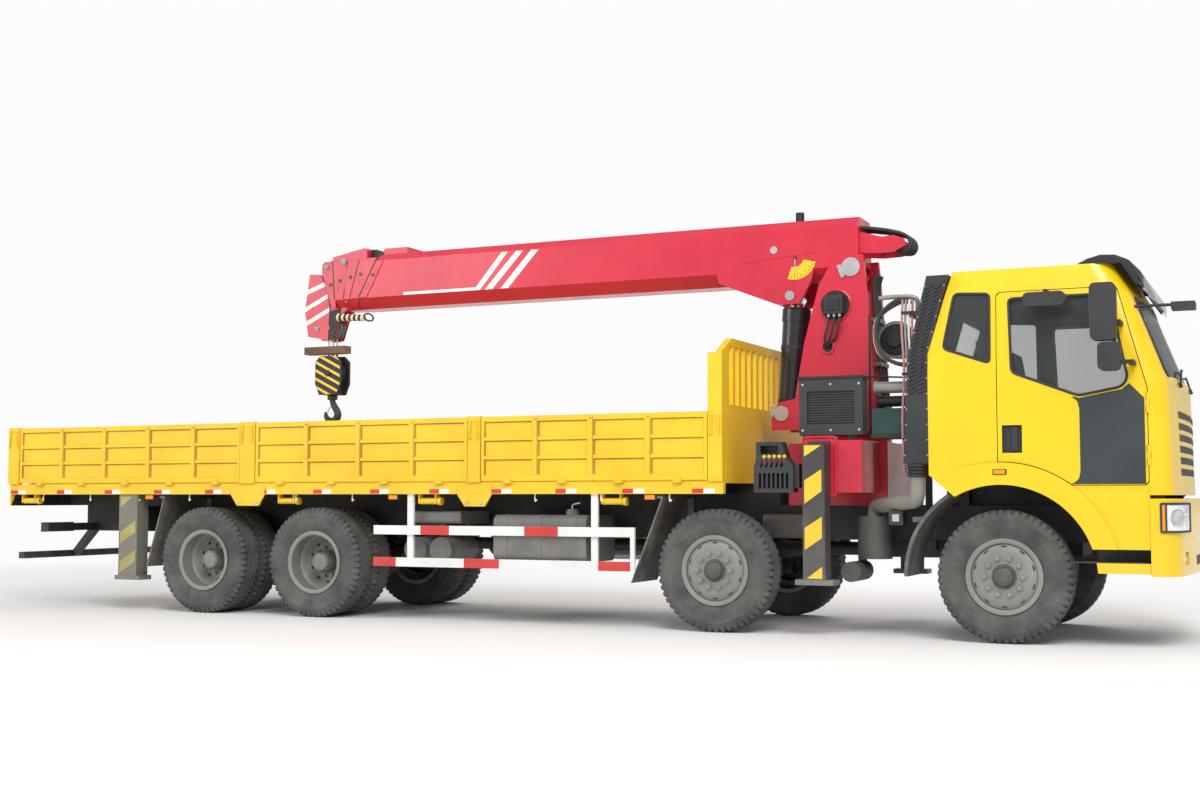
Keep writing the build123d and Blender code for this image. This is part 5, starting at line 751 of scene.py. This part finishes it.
for index in range(1, 5):
    half = BOOM_SIDE - SECTION_STEP * index
    near = SEAMS[index - 1]
    far = SEAMS[index] if index < 4 else None
    bolt_x, bolt_z = FRAME_BOLTS[index - 1]
    pin = FRAME_PINS[index - 1]
    section = Piece(f"section_frame_{index + 1}", f"boom_{index + 1}", "crane_paint", RED, HUB, BLACK, NUT)
    for _, side in SIDES:
        if far:
            bend = ((half + FRAME_SKIN, FRAME_TOP), (half + FRAME_SKIN, FRAME_FOOT + 0.1075),
                    (half - 0.1075, FRAME_FOOT - FRAME_SKIN), (half - 0.11, FRAME_FOOT),
                    (half, FRAME_FOOT + 0.11), (half, FRAME_TOP))
            section.skin(framed(near, far, [(side * y, z) for y, z in bend]))
        else:
            plate = [(seam_x(near, z) - SEAM_GAP, z) for z in (3.16, FRAME_TOP)]
            plate += [(pin[0] + x, pin[1] + z) for x, z in (polar(LUG_RADIUS, turn) for turn in LUG_TURNS)]
            plate += [(-2.718, 3.55), (-2.612, 3.22), (-2.575, 3.16)]
            section.prism(plate, *across(side, half - 0.012, half + FRAME_SKIN))
        strip = [(seam_x(near, z) - SEAM_GAP * share, z) for z, share in SEAM_STRIP]
        section.prism(strip, *film(side, half, 0.0068), "y", 2)
        section.stud(side, bolt_x, bolt_z, half, half + 0.013, 0.019, 1)
        for drop in ((0.062, 0.094) if index in (1, 3) else ()):
            section.stud(side, bolt_x - 0.02, bolt_z - drop, half, half + 0.008, 0.006, 2, 8)
        if pin:
            x, z, radius = pin
            section.turned((x, side * half, z), (0, side, 0),
                           ((0, radius), (0.013, radius), (0.017, radius - 0.006), (0.017, 0)), 3, 24)
    if far:
        edge = half - 0.109
        section.skin(framed(near, far, rectangle((-edge, edge), (FRAME_FOOT - FRAME_SKIN, FRAME_FOOT))))
        (near_x, near_z), far_crest = CRESTS[index - 1], CRESTS[index]
        low_x = -2.1 if index == 1 else seam_x(near, CREST_FOOT) - SEAM_GAP
        crest = ((seam_x(far, CREST_FOOT), CREST_FOOT), (low_x, CREST_FOOT), (near_x - SEAM_GAP / 2, near_z),
                 far_crest)
        section.prism(crest, -half - FRAME_SKIN, half + FRAME_SKIN)
    if index == 1:
        section.prism(FRAME_CAP, 0.07 - half, half - 0.07, "y", 2)
    section.done(0.0015)

# Boom head: striped cover plates with pin keepers, a front wall, and a banded cable bundle beside it
HEAD_BORDER = [(-2.917, 2.877), (-2.665, 2.83), (-2.646, 3.197), (-2.69, 3.4), (-2.766, 3.538),
               (-2.905, 3.547), (-2.962, 3.158)]
HEAD_SIDE = 0.107
HEAD_INNER = 0.0955
HEAD_STRIPES = ((3.344, 3.456), (3.165, 3.317), (3.005, 3.159))
STRIPE_HALF = 0.025
HEAD_BRACE = ((-2.657, 3.14), (-2.667, 2.835), (-2.6, 2.835), (-2.513, 3.09), (-2.513, 3.16))
HEAD_WALL = ((-2.905, 3.547), (-2.962, 3.158), (-2.917, 2.877), (-2.9, 2.88), (-2.944, 3.158),
             (-2.888, 3.546))
for name, side in SIDES:
    head = Piece(f"head_plate_{name}", "boom_5", "crane_paint", RED, WHITE, NUT, BLACK)
    head.prism(HEAD_BORDER, *across(side, HEAD_INNER, HEAD_SIDE))
    for left_z, right_z in HEAD_STRIPES:
        band = [(-2.97, left_z - STRIPE_HALF), (-2.64, right_z - STRIPE_HALF), (-2.64, right_z + STRIPE_HALF),
                (-2.97, left_z + STRIPE_HALF)]
        head.prism(clipped(band, HEAD_BORDER), *film(side, HEAD_SIDE), "y", 1)
    head.prism(HEAD_BRACE, *across(side, HEAD_INNER, 0.1035), "y", 3)
    head.stud(side, -2.8, 2.955, 0.106, 0.118, 0.024, 2, 20)
    head.block((-2.848, -2.752), across(side, 0.1065, 0.113), (2.965, 2.983), 2)
    head.stud(side, -2.86, 3.185, 0.106, 0.1095, 0.008, 3, 10)
    head.done()
wall = Piece("head_wall", "boom_5", "crane_paint", RED)
wall.prism(HEAD_WALL, -HEAD_INNER, HEAD_INNER)
wall.done()
BANDS = 11
CABLE_Y = -0.158
cable = Piece("limit_cable", "boom_5", "dark_steel", CREAM, BLACK)
for k in range(BANDS):
    radius = 0.042 - 0.001 * k
    cable.turned((-2.5 + 0.03 * k, CABLE_Y, 3.062 - 0.002 * k), (1, 0, -0.12),
                 ((0, 0.036), (0.004, radius), (0.026, radius), (0.03, 0.036)), k % 2, 20)
loop = [polar(1.0, 18 * k) for k in range(20)]
cable.sweep([(-2.17 + 0.055 * (1 - a), CABLE_Y + 0.03 * b, 3.042 - 0.035 * b) for a, b in loop], 0.009, 1, 8,
            closed=True)
cable.rod((-2.535, -0.09, 3.062), (-2.49, CABLE_Y, 3.062), 0.016, 1)
cable.done()

# Hose bracket on the boom's tail with five hoses looping round its end
TAIL_OUTLINE = ((3.12, 3.36), (3.3, 3.345), (3.46, 3.35), (3.575, 3.4), (3.56, 3.46), (3.46, 3.5),
                (3.36, 3.49), (3.12, 3.56))
TAIL_HOSE = ((3.1, 3.6), (3.24, 3.585), (3.42, 3.55), (3.555, 3.5), (3.6, 3.43), (3.57, 3.365), (3.47, 3.365))
tail = Piece("hose_bracket", "boom", "crane_paint", RED, PLASTIC)
for y in (-0.19, 0.15):
    tail.prism(TAIL_OUTLINE, y, y + 0.012)
for x, z in ((3.3, 3.4), (3.46, 3.42), (3.545, 3.43)):
    tail.rod((x, -0.18, z), (x, 0.155, z), 0.012)
for k in range(5):
    tail.sweep(smooth_line([(x, -0.13 + 0.06 * k, z) for x, z in TAIL_HOSE]), 0.016, 1, 10)
tail.done(0.001)

# Column: valve box in a ringed opening with hoses, keepers at the pins, slew ring bolts, hoses up the back
VALVE = (2.952, 2.88)
COLUMN_SIDE = 0.29
HOSE_Y = 0.325
# a keeper: X and Z of its pin, reach from it and turn in degrees
KEEPERS = ((3.1, 3.22, 0.098, 200), (2.44, 1.92, 0.08, 160))
SLEW_X = 2.97
SLEW_BOLTS = 32
for name, side in SIDES:
    fittings = Piece(f"column_fittings_{name}", "column", "crane_paint", RED, BLACK, PLASTIC, SILVER)
    for (x, z), radius in ((VALVE, 0.142), ((2.881, 2.505), 0.055)):
        circle = [polar(radius, 9 * k) for k in range(40)]
        fittings.sweep([(x + a, side * COLUMN_SIDE, z + b) for a, b in circle], 0.012, 0, 8, closed=True)
        fittings.stud(side, x, z, COLUMN_SIDE - SUNK, COLUMN_SIDE + 0.0015, radius, 1, 40)
    fittings.block((VALVE[0] - 0.085, VALVE[0] + 0.085), across(side, COLUMN_SIDE, 0.362), (2.8, 2.965), 2)
    fittings.block((VALVE[0] - 0.06, VALVE[0] + 0.06), across(side, 0.36, 0.372), (2.83, 2.935), 1)
    for k in range(3):
        x = VALVE[0] - 0.05 + 0.05 * k
        fittings.rod((x, side * HOSE_Y, 2.81), (x, side * HOSE_Y, 2.775), 0.015, 3, 12)
        line = ((x, HOSE_Y, 2.785), (x - 0.01, 0.335, 2.69), (x - 0.035, 0.335, 2.6),
                (2.865 + 0.02 * k, 0.318, 2.53), (2.875 + 0.012 * k, 0.285, 2.495))
        fittings.sweep(smooth_line([(a, side * y, z) for a, y, z in line]), 0.011, 2, 10)
    for x, z, reach, turn in KEEPERS:
        a, b = polar(1.0, turn)
        out, along = Vector((a, 0, b)), Vector((-b, 0, a))
        middle = Vector((x, side * COLUMN_SIDE, z)) + out * reach
        corners = [middle + along * a + out * b for a, b in rectangle((-0.06, 0.06), (-0.018, 0.018))]
        lift = Vector((0, side * 0.012, 0))
        fittings.skin([corners, [corner + lift for corner in corners]], 3)
        for shift in (-0.042, 0.042):
            start = middle + along * shift
            fittings.rod(start + lift * 0.5, start + lift * 1.8, 0.01, 3, 6)
    fittings.done(0.001)
bolts = Piece("slew_bolts", "column", "dark_steel", BLACK)
for k in range(SLEW_BOLTS):
    x, y = polar(0.372, 360 * k / SLEW_BOLTS)
    bolts.rod((SLEW_X + x, y, 1.786), (SLEW_X + x, y, 1.806), 0.014, 0, 6)
bolts.done()
# a flat black ring on the chassis round the foot of the slew ring: painted shadow
collar = Piece("slew_shadow_ring", "chassis", "dark_steel", BLACK)
collar.turned((SLEW_X, 0, 1.7), (0, 0, 1), ((0, 0.404), (0.026, 0.404)), 0, 72)
collar.done()
COLUMN_HOSE = ((3.285, 3.17), (3.262, 3.08), (3.262, 2.95), (3.285, 2.7), (3.312, 2.3), (3.335, 1.95),
               (3.318, 1.8))
hoses = Piece("column_hoses", "column", "dark_plastic", PLASTIC)
for k in range(4):
    hoses.sweep(smooth_line([(x, -0.12 + 0.07 * k, z) for x, z in COLUMN_HOSE]), 0.014, 0, 10)
hoses.done()
clamps = Piece("hose_clamps", "column", "dark_steel", GREY)
for z, x in ((2.75, 3.279), (2.35, 3.308), (1.98, 3.333)):
    clamps.block((x - 0.05, x + 0.022), (-0.16, 0.13), (z - 0.018, z + 0.018))
clamps.done(0.003)

# Luffing cylinder: gland ring at the barrel's end and two bands round it
LUFF_FOOT = Vector((2.44, 0, 1.92))
LUFF_AHEAD = (Vector((2.51, 0, 3.0)) - LUFF_FOOT).normalized()
GLAND = ((0.86, 0.125), (0.862, 0.134), (0.975, 0.134), (0.982, 0.124), (0.992, 0.1), (0.992, 0.062))
LUFF_BAND = ((0.1, 0.1245), (0.102, 0.13), (0.14, 0.13), (0.142, 0.1245))
gland = Piece("luff_gland", "luff_barrel", "dark_steel", BLACK, GLOSS)
gland.turned(LUFF_FOOT, LUFF_AHEAD, GLAND, 1)
for shift in (0.0, 0.5):
    gland.turned(LUFF_FOOT, LUFF_AHEAD, [(along + shift, radius) for along, radius in LUFF_BAND])
gland.done()

# Oil cooler lid and screws; levers with knobs in the cages
cooler = Piece("cooler_dress", "chassis", "dark_steel", BLACK, SILVER, PLASTIC)
cooler.block((2.815, 3.4), (-1.012, -0.83), (2.165, 2.188))
cooler.block((2.9, 3.315), (-0.982, -0.979), (1.78, 2.06), 2)
for x in (2.862, 3.108, 3.354):
    for z in (1.728, 2.118):
        cooler.stud(-1, x, z, 0.998, 1.008, 0.011, 1, 12)
cooler.done(0.003)
LEVER_KNOB = ((0, 0.006), (0.006, 0.014), (0.016, 0.018), (0.026, 0.014), (0.033, 0.0))
for name, side in SIDES:
    levers = Piece(f"levers_{name}", "chassis", "dark_steel", RED, KNOB, PLASTIC)
    for k in range(5):
        x = 2.545 + 0.045 * k
        levers.rod((x - 0.012, side * 1.115, 1.36), (x + 0.018, side * 1.15, 1.495), 0.006, 0, 8)
        levers.turned((x + 0.018, side * 1.15, 1.49), (0.1, 0, 1), LEVER_KNOB, 1, 16)
    levers.block((2.82, 2.868), across(side, 1.03, 1.13), (1.24, 1.44), 2)
    levers.rod((2.51, side * 1.135, 1.615), (2.7, side * 1.135, 1.615), 0.012, 2, 10)
    levers.done(0.002)

# Outrigger legs: reflective patches, red collar lips
LEG_FACE = 1.23
# patch on a front leg: X and Z pairs from the leg's middle line
LEG_PATCHES = (
    ((-0.078, 1.594), (-0.078, 1.5), (0.07, 1.594)),
    ((-0.078, 1.3), (-0.078, 1.107), (0.07, 1.211), (0.07, 1.394)),
    ((-0.078, 0.905), (-0.078, 0.722), (0.07, 0.822), (0.07, 0.999)),
    ((-0.062, 0.486), (0.07, 0.486), (0.07, 0.586)),
)
for name, side, middle in (("right", -1, 3.02), ("left", 1, 3.279)):
    patches = Piece(f"leg_patches_{name}", f"outrigger_beam_{name}", "bed_paint", KNOB)
    for outline in LEG_PATCHES:
        patches.prism([(middle + x, z) for x, z in outline], *film(side, LEG_FACE))
    patches.done()
    lip = Piece(f"outrigger_lip_{name}", "chassis", "crane_paint", RED)
    outline = rounded(rectangle((middle - 0.142, middle + 0.142), (1.172, 1.668)), 0.03)
    lip.sweep([(x, side * 1.044, z) for x, z in outline], 0.012, closed=True)
    lip.done()
REAR_LEG = -4.34
for name, side in SIDES:
    patches = Piece(f"rear_leg_patches_{name}", "chassis", "grey_steel", FADED)
    low, high = REAR_LEG - 0.1, REAR_LEG + 0.1
    patches.prism([(low, 1.165), (low, 1.06), (REAR_LEG + 0.05, 1.165)], *film(side, LEG_FACE))
    for z in (0.8, 0.5):
        patches.prism([(low, z), (low, z - 0.12), (high, z), (high, z + 0.12)], *film(side, LEG_FACE))
    patches.done()

# Hook block: yellow stripes on the cheeks; a shaped hook with its safety latch in place of the CAD hook
CHEEK = [(-2.78, 2.255), (-2.56, 2.255), (-2.515, 2.37), (-2.515, 2.605), (-2.57, 2.66), (-2.77, 2.66),
         (-2.825, 2.605), (-2.825, 2.37)]
block = Piece("block_stripes", "hook_block", "crane_paint", KNOB)
for _, side in SIDES:
    for k in range(6):
        z = 2.335 + 0.088 * k
        outline = clipped([(-2.85, z), (-2.49, z - 0.18), (-2.49, z - 0.15), (-2.85, z + 0.03)], CHEEK)
        if outline:
            block.prism(outline, *across(side, 0.094, 0.0965))
block.done()
# hook from the shank to the tip: X, Z, half thickness
HOOK_LINE = (
    (-2.67, 2.232, 0.03), (-2.668, 2.18, 0.031), (-2.64, 2.125, 0.035), (-2.608, 2.075, 0.038),
    (-2.6, 2.03, 0.04), (-2.622, 1.99, 0.04), (-2.668, 1.972, 0.038), (-2.718, 1.988, 0.032),
    (-2.748, 2.025, 0.025), (-2.755, 2.07, 0.014),
)
HOOK_STEPS = 5
hook = Piece("dressed_hook", "hook", "hook_steel", HOOK_IRON, SILVER)
sizes = [value.x for value in smooth_line([(size, 0, 0) for _, _, size in HOOK_LINE], HOOK_STEPS)]
hook.sweep(smooth_line([(x, 0, z) for x, z, _ in HOOK_LINE], HOOK_STEPS), 0, 0, 16, sizes)
hook.turned((-2.67, 0, 2.198), (0, 0, 1), ((0, 0.046), (0.008, 0.054), (0.044, 0.054), (0.05, 0.048)), 0, 32)
hook.sweep(smooth_line(((-2.655, 0, 2.15), (-2.7, 0, 2.12), (-2.742, 0, 2.062))), 0.007, 1)
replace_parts(hook.done(), "hook")

# Load bed: tape, rope hooks, post gussets, latches, cargo winches, side markers, bars on the boards
RAIL_FACE = 1.228
RAIL_STEP = 0.66
RAIL_END = 2.1
TAPE_LONG = 0.105
TAPE_Z = (1.196, 1.236)
POSTS = ((2.09, 2.22), (-0.285, -0.155), (-2.9, -2.72), (-6.012, -5.86))
WINCHES = (1.16, -0.74, -2.36, -5.75)
WINCH_Y = 1.165
WINCH_Z = 1.125
BOARDS = (("front", -0.145, 2.08), ("middle", -2.71, -0.295), ("rear", -5.85, -2.91))
for name, side in SIDES:
    tape = Piece(f"rail_tape_{name}", "chassis", "bed_paint", TAPE_RED, WHITE)
    x = -5.88
    while x < RAIL_END:
        tape.block((x, x + TAPE_LONG), film(side, RAIL_FACE), TAPE_Z, 1)
        tape.block((x - TAPE_LONG, x), film(side, RAIL_FACE, 0.0013), TAPE_Z, 0)
        x += RAIL_STEP
    tape.done()
    hooks = Piece(f"rope_hooks_{name}", "chassis", "bed_paint", WHITE)
    x = -5.55
    while x < RAIL_END:
        line = smooth_line(((x, side * 1.19, 1.2), (x, side * 1.195, 1.155), (x + 0.012, side * 1.21, 1.125),
                            (x + 0.03, side * 1.214, 1.14)), HOOK_STEPS)
        hooks.sweep(line, 0.006, 0, 8)
        x += RAIL_STEP
    hooks.done()
    gussets = Piece(f"post_gussets_{name}", "chassis", "bed_paint", BED_YELLOW, SILVER)
    for low, high in POSTS[1:3]:
        outline = ((low - 0.115, 1.272), (low - 0.115, 1.18), (low - 0.04, 1.076), (high + 0.04, 1.076),
                   (high + 0.115, 1.18), (high + 0.115, 1.272))
        gussets.prism(outline, *film(side, RAIL_FACE, 0.008))
        for x in (low - 0.012, high + 0.012):
            gussets.stud(side, x, 1.108, RAIL_FACE, RAIL_FACE + 0.02, 0.016, 1, 6)
    gussets.done(0.003)
    latches = Piece(f"post_latches_{name}", "chassis", "bed_paint", BED_YELLOW)
    for low, high in POSTS:
        for x, lean in ((low + 0.03, -1), (high - 0.03, 1)):
            latches.block((x - 0.014, x + 0.014), across(side, 1.249, 1.258), (1.7, 1.86))
            line = ((x, 1.256, 1.87), (x, 1.264, 1.82), (x + 0.004 * lean, 1.266, 1.76),
                    (x + 0.012 * lean, 1.262, 1.69))
            latches.sweep(smooth_line([(a, side * y, z) for a, y, z in line]), 0.007, 0, 8)
            latches.rod((x - 0.02, side * 1.258, 1.865), (x + 0.02, side * 1.258, 1.865), 0.008, 0, 10)
    latches.done(0.002)
    winches = Piece(f"cargo_winches_{name}", "chassis", "bed_paint", BED_YELLOW, BLACK)
    for x in WINCHES:
        y = side * WINCH_Y
        winches.rod((x - 0.1, y, WINCH_Z), (x + 0.1, y, WINCH_Z), 0.03, 0, 18)
        for end in (-0.105, 0.075):
            winches.block((x + end, x + end + 0.012), across(side, 1.13, 1.2), (1.1, 1.192), 0)
        winches.rod((x + 0.1, y, WINCH_Z), (x + 0.135, y, WINCH_Z), 0.038, 0, 18)
        for turn in (0, 90, 180, 270):
            a, b = polar(0.022, turn)
            winches.rod((x + 0.13, y + a, WINCH_Z + b), (x + 0.136, y + a, WINCH_Z + b), 0.007, 1, 10)
    winches.done(0.001)
    markers = Piece(f"side_markers_{name}", "chassis", "lamp", AMBER, PLASTIC)
    for x in (1.53, -1.12, -4.08):
        markers.block((x - 0.055, x + 0.055), across(side, 1.17, 1.205), (1.135, 1.188), 1)
        markers.block((x - 0.048, x + 0.048), across(side, 1.204, 1.216), (1.141, 1.182), 0)
    markers.done(0.004)
for name, side in SIDES:
    for board, low, high in BOARDS:
        bars = Piece(f"board_bars_{name}_{board}", f"board_{name}_{board}", "bed_paint", BED_YELLOW, CREASE_SHADE_AND_DIRT)
        bays = max(2, round((high - low) / 0.6))
        for k in range(1, bays):
            x = low + (high - low) * k / bays
            bars.block((x - 0.019, x + 0.019), across(side, 1.241, 1.2455), (1.36, 1.89), 0)
            # a brown line beside each bar: painted shade in its groove, with dirt
            bars.block((x + 0.02, x + 0.028), across(side, 1.2405, 1.243), (1.37, 1.88), 1)
            bars.stud(side, x, 1.868, 1.244, 1.249, 0.008, 1, 8)
        bars.done(0.0015)

# Side guards: red patches on the white rails, as rail height, low X and high X
GUARD_PATCHES = (
    (0.8525, -0.8, -0.49), (0.8525, 0.3, 0.64), (0.552, -1.32, -1.07), (0.552, -0.33, 0.04),
    (0.552, 1.04, 1.35),
)
for name, side in SIDES:
    patches = Piece(f"guard_patches_{name}", "chassis", "guard_paint", TAPE_RED)
    for z, low, high in GUARD_PATCHES:
        patches.block((low, high), film(side, LEG_FACE), (z - 0.042, z + 0.042))
    patches.done()

# Rear lamps: red, amber and clear lenses on the lamp bars
for name, side in SIDES:
    lenses = Piece(f"rear_lenses_{name}", "chassis", "lamp", RED_LENS, AMBER, LENS)
    for inner, outer, paint in ((0.715, 0.86, 0), (0.868, 0.98, 2), (0.988, 1.125, 1)):
        lenses.block((-5.642, -5.628), across(side, inner, outer), (0.8, 0.88), paint)
    lenses.done(0.004)

# Between crane and cab: a frame on the rails with oil tank, pipes, drum and hoses
BAY_PIPE = ((0, 0.035), (0.01, 0.058), (0.03, 0.058), (0.035, 0.05), (0.34, 0.05), (0.36, 0.045))
BAY_FILTER = ((0, 0.03), (0.01, 0.046), (0.34, 0.046), (0.35, 0.04))
BAY_DRUM = ((0, 0.11), (0.02, 0.15), (0.2, 0.15), (0.205, 0.135), (0.22, 0.13), (0.225, 0.07), (0.25, 0.065),
            (0.255, 0.0))
BAY_DRUM_BAND = ((0, 0.152), (0.004, 0.16), (0.026, 0.16), (0.03, 0.152))
bay = Piece("bay_machinery", "chassis", "grey_steel", BLACK, NUT, TEAL, PLASTIC, PINK, WHITE, RUST)
for _, side in SIDES:
    bay.block((3.78, 3.83), across(side, 0.4, 0.46), (1.09, 2.72))
for z in (1.62, 2.15, 2.66):
    bay.block((3.781, 3.829), (-0.98, 0.459), (z, z + 0.05))
bay.block((3.44, 3.8), (-0.965, -0.6), (1.655, 1.69))
bay.block((3.45, 3.77), (-0.95, -0.61), (1.689, 1.905), 2)
bay.turned((3.43, -0.8, 2.09), (1, 0, 0), BAY_PIPE, 1)
bay.turned((3.44, -0.74, 1.975), (1, 0, 0), BAY_FILTER, 3)
bay.turned((3.63, -0.62, 2.49), (0, -1, 0), BAY_DRUM)
bay.turned((3.63, -0.8, 2.49), (0, -1, 0), BAY_DRUM_BAND, 1)
for k, paint in enumerate((3, 1, 3, 6, 5)):
    lag = 0.012 * k
    line = ((3.78, 2.8), (3.66, 2.795), (3.535 - lag, 2.68), (3.505 - lag, 2.52), (3.55 - lag, 2.37),
            (3.65, 2.285), (3.78, 2.26))
    bay.sweep(smooth_line([(x, -0.975 + 0.033 * k, z) for x, z in line]), 0.017, paint, 10)
for k, paint in enumerate((4, 1, 5, 4)):
    line = ((0, 1.36), (-0.012, 1.8), (0.006, 2.2), (-0.01, 2.55), (0, 2.8))
    line = smooth_line([(3.742 + 0.026 * k + sway, -1.03 + 0.012 * k, z) for sway, z in line])
    bay.sweep(line, 0.011, paint, 8)
for z in (1.63, 2.17, 2.68):
    bay.block((3.73, 3.835), (-1.042, -0.978), (z, z + 0.022), 3)
line = smooth_line(((3.5, -0.86, 2.845), (3.66, -0.86, 2.85), (3.81, -0.84, 2.83), (3.815, -0.8, 2.72)))
bay.sweep(line, 0.02, 1, 12)
bay.rod((3.36, -0.66, 1.66), (3.36, -0.66, 2.74), 0.011, 3, 8)
bay.rod((3.36, -0.66, 2.2), (3.79, -0.66, 2.175), 0.008, 3, 8)
bay.done(0.002)

# Fuel tank: lever on the filler cap; beside the intake pipe a small valve box with its plate
tank = Piece("tank_fittings", "chassis", "grey_steel", SILVER, PLASTIC)
line = smooth_line(((0.7, -1.05, 1.05), (0.7, -1.05, 1.085), (0.73, -1.06, 1.1), (0.79, -1.07, 1.11)))
tank.sweep(line, 0.009, 0, 8)
tank.block((3.6, 3.72), (-1.02, -0.9), (0.93, 1.05), 1)
tank.block((3.63, 3.69), (-1.026, -1.02), (0.96, 1.02), 0)
tank.done(0.002)

CAMERA_PLACE = (6.753, -13.45, 1.161)
CAMERA_YAW = 24.985
CAMERA_RISE = 3.67
LENS_MM = 45.47
camera = bpy.data.objects.new("camera", bpy.data.cameras.new("camera"))
camera.data.sensor_width = 36.0
camera.data.lens = LENS_MM
camera.data.clip_end = 300.0
camera.location = CAMERA_PLACE
camera.rotation_euler = (math.radians(90 + CAMERA_RISE), 0, math.radians(CAMERA_YAW))
scene.collection.objects.link(camera)
scene.camera = camera

# World: soft light on the truck, a brighter backdrop for the camera and through the glass
BACKDROP = (0.985, 0.975, 0.98, 1.0)
world = bpy.data.worlds.new("studio")
scene.world = world
world.use_nodes = True
sky = world.node_tree
soft = wired(sky, sky.nodes["Background"], {"Color": (1.0, 1.0, 1.0, 1.0), "Strength": 0.62})
bright = wired(sky, "ShaderNodeBackground", {"Color": BACKDROP, "Strength": 1.0})
rays = sky.nodes.new("ShaderNodeLightPath").outputs
seen = wired(sky, "ShaderNodeMath", {}, {0: rays["Is Camera Ray"], 1: rays["Is Transmission Ray"]})
seen.operation = "MAXIMUM"
either = wired(sky, "ShaderNodeMixShader", {}, {0: seen.outputs[0], 1: soft.outputs[0], 2: bright.outputs[0]})
wired(sky, sky.nodes["World Output"], {}, {"Surface": either.outputs[0]})

# name, place, size and power of a lamp
LAMPS = (("key", (9, -12, 13), 9.0, 2100), ("fill", (-12, -13, 8), 9.0, 900),
         ("back", (0, 14, 11), 10.0, 900))
LAMP_AIM = Vector((0, 0, 1.5))
for name, place, size, power in LAMPS:
    lamp = bpy.data.objects.new(name, bpy.data.lights.new(name, "AREA"))
    lamp.data.size = size
    lamp.data.energy = power
    lamp.location = place
    lamp.rotation_euler = (LAMP_AIM - Vector(place)).to_track_quat("-Z", "Y").to_euler()
    scene.collection.objects.link(lamp)

# Floor: pale round the truck, fading into the backdrop further out
FADE_FROM = 8.0
FADE_TO = 17.0
floor_mesh = bmesh.new()
bmesh.ops.create_circle(floor_mesh, cap_ends=True, radius=120.0, segments=64)
floor_data = bpy.data.meshes.new("floor")
floor_mesh.to_mesh(floor_data)
floor_mesh.free()
floor = bpy.data.objects.new("floor", floor_data)
scene.collection.objects.link(floor)
ground = bpy.data.materials.new("pale_floor")
ground.use_nodes = True
tree = ground.node_tree
pale = wired(tree, tree.nodes["Principled BSDF"],
             {"Base Color": (0.86, 0.852, 0.856, 1.0), "Roughness": 0.9, "Specular IOR Level": 0.1})
glow = wired(tree, "ShaderNodeEmission", {"Color": BACKDROP})
where = tree.nodes.new("ShaderNodeTexCoord").outputs["Object"]
reach = wired(tree, "ShaderNodeVectorMath", {}, {0: where})
reach.operation = "LENGTH"
share = ramp(tree, reach.outputs["Value"], FADE_FROM, FADE_TO)
fade = wired(tree, "ShaderNodeMixShader", {}, {0: share, 1: pale.outputs[0], 2: glow.outputs[0]})
wired(tree, tree.nodes["Material Output"], {}, {"Surface": fade.outputs[0]})
floor.data.materials.append(ground)
scene.view_settings.view_transform = "Standard"
